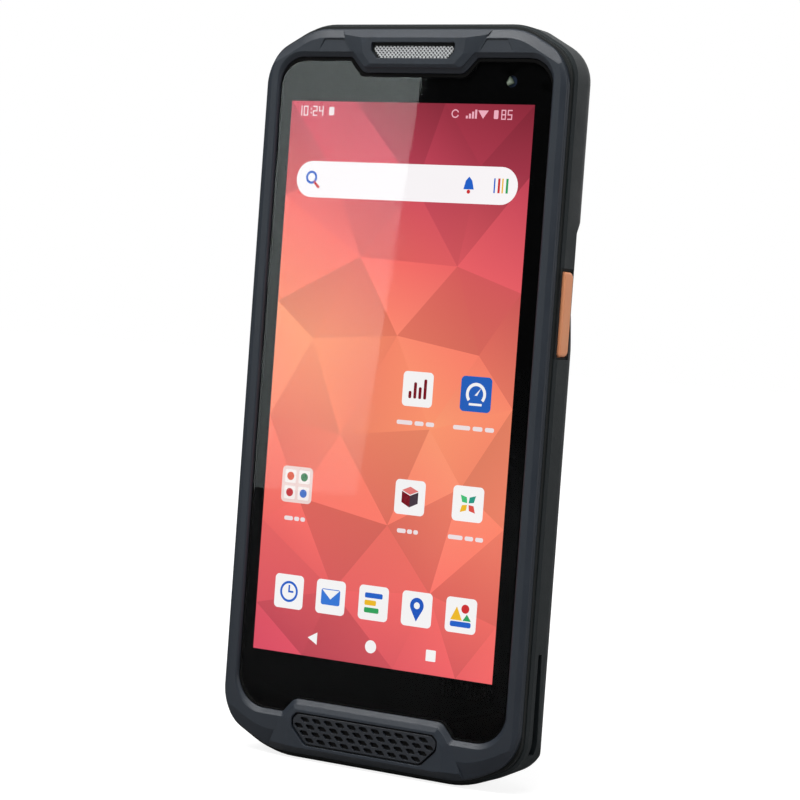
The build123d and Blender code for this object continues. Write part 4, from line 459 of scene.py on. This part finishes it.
# Corners of the wallpaper's facets.
WALL_KNOTS = [
    (-31.25, 41), (-31.25, 17), (-31.25, -9), (-31.25, -33), (-31.25, -52),
    (31.25, 47), (31.25, 22), (31.25, -3), (31.25, -29), (31.25, -50),
    (-14, 62.5), (9, 62.5), (-18, -62.5), (6, -62.5), (22, -62.5),
    (-19, 47), (3, 44), (19, 49), (-10, 28), (15, 27), (-21, 9), (1, 11), (22, 8),
    (-12, -12), (11, -9), (-22, -27), (2, -31), (20, -21), (-11, -47), (14, -45),
]


def wall_tone(x, z):
    """Wallpaper colour at a place: a ramp on both sides of a slanting bright line."""
    away = z - WALL_BRIGHT_Z + WALL_LEAN * x
    reach = WALL_REACH_UP if away > 0 else WALL_REACH_DOWN
    place = min(abs(away) / reach, 1.0) * (len(WALL_RAMP) - 1)
    step = min(int(place), len(WALL_RAMP) - 2)
    near, far = WALL_RAMP[step], WALL_RAMP[step + 1]
    return [a + (b - a) * (place - step) for a, b in zip(near, far)]


def wallpaper():
    """Facetted wallpaper that fills the lit area."""
    half_x, half_z = SCREEN_WIDTH / 2, SCREEN_HEIGHT / 2
    corners = [(-half_x, -half_z), (half_x, -half_z), (half_x, half_z), (-half_x, half_z)]
    points = [Vector(point) for point in corners + WALL_KNOTS]
    places, _, faces, *_ = delaunay_2d_cdt(points, [], [], 0, 1e-4)
    picture = Picture("screen_wallpaper", "wall")
    for index, face in enumerate(faces):
        outline = [tuple(places[corner]) for corner in face]
        middle_x = sum(x for x, _ in outline) / len(outline)
        middle_z = sum(z for _, z in outline) / len(outline)
        lift = 1.0 + 0.075 * math.sin(index * 2.4 + 0.7)
        colours = []
        for corner, (x, z) in enumerate(outline):
            tone = wall_tone(middle_x + 0.8 * (x - middle_x), middle_z + 0.8 * (z - middle_z))
            tilt = lift + 0.03 * math.cos(corner * 2.1 + index)
            colours.append(linear(*[min(max(value * tilt, 0), 255) for value in tone]))
        picture.shape(outline, colours)
    return picture


DIGIT_BARS = {
    "a": (0, 2, 1, 2), "b": (1, 1, 1, 2), "c": (1, 0, 1, 1), "d": (0, 0, 1, 0),
    "e": (0, 0, 0, 1), "f": (0, 1, 0, 2), "g": (0, 1, 1, 1),
}
DIGITS = {"0": "abcdef", "1": "bc", "2": "abged", "3": "abgcd", "4": "fgbc", "5": "afgcd",
          "6": "afgedc", "7": "abc", "8": "abcdefg", "9": "abcdfg"}


def draw_number(picture, text, left, base, height, colour):
    """Plain digits and colons, drawn with bars."""
    unit = height / 2
    width = unit * 0.95
    line = height * 0.13
    for sign in text:
        if sign == ":":
            for level in (0.55, 1.45):
                picture.shape(disc((left + line, base + unit * level), line * 0.75, 12), colour)
            left += line * 3.2
            continue
        for bar in DIGITS[sign]:
            x0, z0, x1, z1 = DIGIT_BARS[bar]
            low = (left + x0 * width - line / 2, base + z0 * unit - line / 2)
            high = (left + x1 * width + line / 2, base + z1 * unit + line / 2)
            picture.shape(box_outline(*low, *high), colour)
        left += width + line * 2.6


def status_bar(picture):
    """Time, signal, network and battery marks at the top of the screen."""
    base = 59.3
    draw_number(picture, "10:24", -29.4, base, 2.0, SOFT_WHITE)
    picture.shape(rounded_box((-20.4, base + 1.0), 1.4, 1.9, 0.3), SOFT_WHITE)
    picture.ring((11.7, base + 1.0), 0.95, 0.68, STATUS_TONE, 20, 340)
    for step in range(4):
        left = 14.4 + step * 0.75
        picture.shape(box_outline(left, base, left + 0.5, base + 0.6 + step * 0.45), STATUS_TONE)
    picture.shape([(18.7, base), (20.0, base + 1.8), (17.4, base + 1.8)], STATUS_TONE)
    picture.shape(rounded_box((21.9, base + 0.95), 1.1, 1.9, 0.25), STATUS_TONE)
    draw_number(picture, "85", 23.3, base, 1.9, STATUS_TONE)


def search_bar(pale, marks):
    """White rounded field with a magnifier, a bell and a row of code bars."""
    z = 44.9
    pale.shape(rounded_box((0.0, z), 57.0, 8.2, 4.1), linear(252, 247, 249))
    marks.ring((-24.5, z + 0.4), 1.5, 0.95, BLUE)
    handle = [(-23.6, z - 0.2), (-23.2, z - 0.7), (-22.1, z - 1.7), (-22.6, z - 2.1),
              (-24.0, z - 0.8)]
    marks.shape(handle, RED)
    bell = [(15.1, z - 1.0), (17.7, z - 1.0), (17.2, z + 0.9), (16.4, z + 1.8), (15.6, z + 0.9)]
    marks.shape(bell, BLUE)
    marks.shape(disc((16.4, z - 1.5), 0.45, 16), RED)
    for step, tone in enumerate((BLUE, RED, YELLOW, GREEN)):
        x = 22.6 + step * 1.0
        marks.shape(box_outline(x, z - 1.6, x + 0.35 + 0.2 * (step % 2), z + 1.6), tone)


def tile(picture, centre, colour=WHITE, size=TILE):
    """Rounded square behind a symbol."""
    picture.shape(rounded_box(centre, size, size, size * TILE_CORNER), colour)


def caption(picture, centre, width):
    """Soft pale bars, each given by its start and length in shares of the width."""
    for start, length in ((-0.5, 0.42), (-0.02, 0.24), (0.28, 0.22)):
        middle = (centre[0] + width * start + width * length / 2, centre[1])
        picture.shape(rounded_box(middle, width * length, 0.95, 0.4), SOFT_WHITE)


def bars_symbol(picture, centre):
    """Dark red level bars."""
    for step, height in enumerate((1.6, 3.6, 2.6, 4.4)):
        x = centre[0] - 1.9 + step * 1.27
        picture.shape(rounded_box((x, centre[1] - 2.1 + height / 2), 0.75, height, 0.3), DARK_RED)


def gauge_symbol(picture, centre):
    """White dial on the blue tile."""
    picture.ring(centre, 2.5, 1.8, WHITE, -40, 220, 26)
    x, z = centre
    picture.shape([(x - 0.35, z - 0.3), (x + 0.3, z - 0.3), (x + 1.2, z + 1.4)], WHITE)
    picture.shape(box_outline(x - 1.6, z - 2.5, x + 1.6, z - 2.0), WHITE)


def parcel_symbol(picture, centre):
    """Parcel seen from a corner."""
    x, z = centre
    top = [(x, z + 0.6), (x + 2.1, z + 1.5), (x, z + 2.4), (x - 2.1, z + 1.5)]
    left = [(x - 2.1, z + 1.3), (x, z + 0.4), (x, z - 2.2), (x - 2.1, z - 1.2)]
    right = [(x, z + 0.4), (x + 2.1, z + 1.3), (x + 2.1, z - 1.2), (x, z - 2.2)]
    picture.shape(top, linear(226, 120, 116))
    picture.shape(left, DARK_RED)
    picture.shape(right, linear(70, 56, 66))


def leaf_symbol(picture, centre):
    """Four coloured kites round a point."""
    tones = (linear(40, 150, 130), linear(70, 190, 120), YELLOW, linear(220, 80, 70))
    for quarter, tone in enumerate(tones):
        turn = math.radians(45 + quarter * 90)
        outline = []
        for reach, spread in ((0.25, 0.0), (1.5, 0.55), (2.7, 0.0), (1.5, -0.55)):
            outline.append((centre[0] + reach * math.cos(turn + spread),
                            centre[1] + reach * math.sin(turn + spread)))
        picture.shape(outline, tone)


def clock_symbol(picture, centre):
    """Blue clock face."""
    x, z = centre
    picture.ring(centre, 2.4, 1.85, BLUE)
    picture.shape(box_outline(x - 0.22, z - 0.2, x + 0.22, z + 1.5), BLUE)
    picture.shape(box_outline(x - 0.2, z - 0.22, x + 1.2, z + 0.22), BLUE)


def letter_symbol(picture, centre):
    """Blue envelope."""
    x, z = centre
    picture.shape(rounded_box((x, z), 5.0, 3.6, 0.5), linear(58, 120, 214))


def letter_flap(picture, centre):
    """White flap of the envelope."""
    x, z = centre
    picture.shape([(x - 2.3, z + 1.6), (x, z - 0.5), (x + 2.3, z + 1.6)], WHITE)


def chart_symbol(picture, centre):
    """Stacked bars of unlike length."""
    x, z = centre
    for step, (length, tone) in enumerate(((4.6, BLUE), (3.0, YELLOW), (3.8, GREEN))):
        middle = (x - 2.3 + length / 2, z + 1.65 - step * 1.65)
        picture.shape(rounded_box(middle, length, 1.15, 0.3), tone)


def pin_symbol(picture, centre):
    """Blue map pin."""
    x, z = centre
    picture.ring((x, z + 0.8), 1.75, 0.75, PIN_BLUE)
    picture.shape([(x - 1.45, z - 0.2), (x + 1.45, z - 0.2), (x, z - 2.7)], PIN_BLUE)


def hills_symbol(picture, centre):
    """Red sun above a yellow and a green hill on blue water."""
    x, z = centre
    picture.shape(disc((x + 1.0, z + 1.5), 1.0, 20), RED)
    picture.shape([(x - 2.6, z - 1.1), (x + 0.35, z - 1.1), (x - 1.1, z + 1.9)], YELLOW)
    picture.shape([(x + 0.5, z - 1.1), (x + 2.6, z - 1.1), (x + 1.5, z + 0.4)], GREEN)
    picture.shape(rounded_box((x, z - 1.95), 5.2, 1.2, 0.4), BLUE)


# Middles of the picture's parts, x and z from the screen's middle.
APPS = (((7.3, -0.4), bars_symbol), ((7.3, -24.3), parcel_symbol), ((22.0, -24.3), leaf_symbol))
GAUGE_APP = (22.0, -0.4)
FOLDER = (-22.5, -24.3)
FOLDER_SIZE = 8.2
FOLDER_STEP = 1.85       # folder's middle to the middles of its small tiles
LETTER_X = -11.4
DOCK = ((-22.6, clock_symbol), (LETTER_X, letter_symbol), (-0.1, chart_symbol),
        (11.1, pin_symbol), (22.3, hills_symbol))
DOCK_Z = -48.6
CAPTIONS = (((7.3, -7.9), 9.6), ((22.0, -7.9), 10.2), ((7.3, -31.8), 5.4),
            ((22.0, -31.8), 8.8), ((-22.5, -32.0), 5.6))


def folder(pale, marks, details):
    """Tile with four small tiles on it."""
    tile(pale, FOLDER, linear(240, 214, 210), FOLDER_SIZE)
    tones = (linear(222, 96, 70), linear(70, 130, 90), linear(196, 60, 66), linear(80, 120, 200))
    for (side_x, side_z), tone in zip(((-1, 1), (1, 1), (-1, -1), (1, -1)), tones):
        centre = (FOLDER[0] + side_x * FOLDER_STEP, FOLDER[1] + side_z * FOLDER_STEP)
        tile(marks, centre, linear(250, 240, 238), 3.0)
        details.shape(disc(centre, 0.95, 20), tone)


def navigation_marks(picture):
    """Triangle, disc and square along the foot of the screen."""
    z = -58.3
    picture.shape([(-14.2, z + 1.4), (-14.2, z - 1.4), (-16.7, z)], WHITE)
    picture.shape(disc((0.0, z), 1.45), WHITE)
    picture.shape(rounded_box((15.5, z), 2.5, 2.5, 0.2), WHITE)


def home_screen():
    """Everything that the lit display shows."""
    wall = wallpaper()
    pale = Picture("screen_tiles", "low")
    marks = Picture("screen_symbols", "mid")
    details = Picture("screen_details", "high")
    status_bar(marks)
    search_bar(pale, marks)
    for centre, symbol in APPS:
        tile(pale, centre)
        symbol(marks, centre)
    tile(pale, GAUGE_APP, linear(40, 96, 186))
    gauge_symbol(marks, GAUGE_APP)
    folder(pale, marks, details)
    for x, symbol in DOCK:
        tile(pale, (x, DOCK_Z))
        symbol(marks, (x, DOCK_Z))
    letter_flap(details, (LETTER_X, DOCK_Z))
    for centre, width in CAPTIONS:
        caption(pale, centre, width)
    navigation_marks(pale)
    glow = lit("screen_pixels", SCREEN_GLOW)
    for picture in (wall, pale, marks, details):
        picture.build(glow)


def painted_camera_glint():
    """Painted greenish glint on the front camera's lens: a glowing mesh that stands in for a
    reflection.
    """
    glint_picture = Picture("front_camera_painted_glint", "top")
    x, z = 24.5, 67.5
    outline = [(x - 1.5, z - 1.1), (x - 0.3, z - 1.1), (x + 1.4, z - 0.4), (x + 0.9, z + 0.5),
               (x + 0.1, z + 1.2), (x - 0.4, z + 0.2)]
    # Dark rim and pale middle of the painted reflection, shown as glowing pixels.
    rim = linear(35, 45, 35)
    middle = linear(145, 155, 140)
    for index, point in enumerate(outline):
        after = (index + 1) % len(outline)
        glint_picture.shape([(x, z - 0.1), point, outline[after]], [middle, rim, rim])
    glint_picture.build(lit("lens_painted_glint"), "lens_glass")


# ---- camera ----
AZIMUTH = math.radians(30.865)
ELEVATION = math.radians(1.606)
ROLL = math.radians(4.174)
DISTANCE = 544.707
SHIFT = (2.618, -3.107)  # rightward and upward
LENS = 110.886
SENSOR = 36.0


def place_camera():
    """Camera at the terminal's front right, tipped a little to one side."""
    back = Vector((math.sin(AZIMUTH) * math.cos(ELEVATION),
                   -math.cos(AZIMUTH) * math.cos(ELEVATION), math.sin(ELEVATION)))
    right = Vector((math.cos(AZIMUTH), math.sin(AZIMUTH), 0.0))
    up = back.cross(right)
    place = Vector(VIEW_CENTRE) + back * DISTANCE + right * SHIFT[0] + up * SHIFT[1]
    across = right * math.cos(ROLL) + up * math.sin(ROLL)
    upward = up * math.cos(ROLL) - right * math.sin(ROLL)
    data = bpy.data.cameras.new("camera")
    data.sensor_width = SENSOR
    data.lens = LENS
    data.clip_start = 0.01
    data.clip_end = 50.0
    camera = placed(bpy.data.objects.new("camera", data))
    turn = Matrix((across, upward, back)).transposed().to_4x4()
    camera.matrix_world = Matrix.Translation(place * MM) @ turn
    bpy.context.scene.camera = camera


# ---- floor and light ----
FLOOR_REACH = 6.0        # metres
FLOOR_DROP = 0.0001      # below the terminal's underside
FRONT_LEVEL = 0.035      # world's light from the front
REAR_LEVEL = 0.32        # and from the rear
CARD_FAR = 900.0         # glass to the card, in millimetres
CARD_WIDTH = 52.0        # card's width as it shows on the glass
CARD_EDGE = ((4.0, 82.0), (-8.5, -46.0), (-11.0, -72.0))
CARD_LEVELS = (1.0, 0.8, 0.32, 0.28, 0.03, 0.03)
CARD_STRENGTH = 8.5
LAMP_TARGET = (0.0, 0.0, 0.085)
# Name, place, size and power of each lamp, in metres and watts.
SOFTBOXES = (
    ("bevel_softbox", (-0.45, -0.6, 0.98), (0.6, 0.6), 9.5),
    ("top_softbox", (0.2, -0.45, 1.15), (0.9, 0.7), 9.0),
    ("right_fill", (1.0, -0.3, 0.3), (0.6, 0.8), 2.8),
    ("rear_fill", (0.1, 1.0, 0.5), (1.0, 0.8), 2.5),
)


def studio_floor():
    """Pale floor that keeps the terminal's shadow and whitens away from it."""
    n = Nodes("studio_floor")
    path = n.add("ShaderNodeLightPath")
    seen = n.sum("MAXIMUM", path.outputs["Is Camera Ray"], path.outputs["Is Transmission Ray"])
    speckle = n.ranged(n.noise(0.02, 4.0), 0.3, 0.7, 0.97, 1.0)
    away = n.add("ShaderNodeVectorMath", {"operation": "LENGTH"}, Vector=n.place).outputs["Value"]
    level = n.ranged(away, 0.1, 0.9, 0.86, 1.0)
    matt = n.add("ShaderNodeBsdfDiffuse", Color=(0.3, 0.3, 0.3, 1.0), Roughness=speckle)
    glow = n.add("ShaderNodeEmission", Color=(1.0, 1.0, 1.0, 1.0),
                 Strength=n.sum("MULTIPLY", seen, level))
    both = n.add("ShaderNodeAddShader")
    n.put(both, 0, matt.outputs["BSDF"])
    n.put(both, 1, glow.outputs["Emission"])
    n.surface(both.outputs["Shader"])
    mesh = bpy.data.meshes.new("floor")
    corners = box_outline(-FLOOR_REACH, -FLOOR_REACH, FLOOR_REACH, FLOOR_REACH)
    mesh.from_pydata([(x, y, 0) for x, y in corners], [], [(0, 1, 2, 3)])
    mesh.materials.append(n.material)
    floor = placed(bpy.data.objects.new("floor", mesh))
    floor.location.z = -FLOOR_DROP


def softbox(name, place, size, power):
    """Rectangular lamp aimed at the terminal."""
    data = bpy.data.lights.new(name, "AREA")
    data.shape = "RECTANGLE"
    data.size, data.size_y = size
    data.energy = power
    lamp = placed(bpy.data.objects.new(name, data))
    toward = (Vector(LAMP_TARGET) - Vector(place)).normalized()
    turn = toward.to_track_quat("-Z", "Y").to_matrix().to_4x4()
    lamp.matrix_world = Matrix.Translation(Vector(place)) @ turn


def surroundings():
    """White studio wall behind the terminal and a dim room in front of it."""
    world = bpy.data.worlds.new("studio")
    bpy.context.scene.world = world
    world.use_nodes = True
    tree = world.node_tree
    tree.nodes.clear()
    place = tree.nodes.new("ShaderNodeTexCoord")
    split = tree.nodes.new("ShaderNodeSeparateXYZ")
    tree.links.new(place.outputs["Generated"], split.inputs[0])
    depth = tree.nodes.new("ShaderNodeMapRange")
    depth.inputs["From Min"].default_value = -0.2
    depth.inputs["From Max"].default_value = 0.5
    depth.inputs["To Min"].default_value = FRONT_LEVEL
    depth.inputs["To Max"].default_value = REAR_LEVEL
    tree.links.new(split.outputs["Y"], depth.inputs["Value"])
    path = tree.nodes.new("ShaderNodeLightPath")
    level = tree.nodes.new("ShaderNodeMath")
    level.operation = "MAXIMUM"
    tree.links.new(path.outputs["Is Camera Ray"], level.inputs[0])
    tree.links.new(depth.outputs["Result"], level.inputs[1])
    light = tree.nodes.new("ShaderNodeBackground")
    light.inputs["Color"].default_value = (1.0, 1.0, 1.0, 1.0)
    tree.links.new(level.outputs["Value"], light.inputs["Strength"])
    out = tree.nodes.new("ShaderNodeOutputWorld")
    tree.links.new(light.outputs["Background"], out.inputs["Surface"])


def reflector_card():
    """Tall card that shows as the slanted sheen on the left of the glass."""
    camera = bpy.context.scene.camera.matrix_world.translation / MM
    mirrored = Vector((camera.x, 2 * GLASS_FRONT - camera.y, camera.z))
    corners = []
    for x, z in CARD_EDGE:
        for shift in (0.0, -CARD_WIDTH):
            seen = Vector((x + shift + VIEW_CENTRE[0], GLASS_FRONT, z + VIEW_CENTRE[2]))
            toward = (seen - mirrored).normalized()
            corners.append(tuple((seen + toward * CARD_FAR) * MM))
    mesh = bpy.data.meshes.new("reflector_card")
    mesh.from_pydata(corners, [], [(0, 1, 3, 2), (2, 3, 5, 4)])
    levels = mesh.color_attributes.new("level", "FLOAT_COLOR", "POINT")
    for index, value in enumerate(CARD_LEVELS):
        levels.data[index].color = (value * 0.95, value, value * 0.97, 1.0)
    n = Nodes("reflector_card")
    level = n.add("ShaderNodeAttribute", {"attribute_name": "level"}).outputs["Color"]
    glow = n.add("ShaderNodeEmission", Color=level, Strength=CARD_STRENGTH)
    mesh.materials.append(n.surface(glow.outputs["Emission"]))
    card = placed(bpy.data.objects.new("reflector_card", mesh))
    card.visible_camera = False
    card.visible_diffuse = False
    card.visible_shadow = False


dress_nodes(make_finishes())
home_screen()
painted_camera_glint()
place_camera()
studio_floor()
surroundings()
reflector_card()
for lamp in SOFTBOXES:
    softbox(*lamp)
bpy.context.scene.view_settings.view_transform = "Standard"
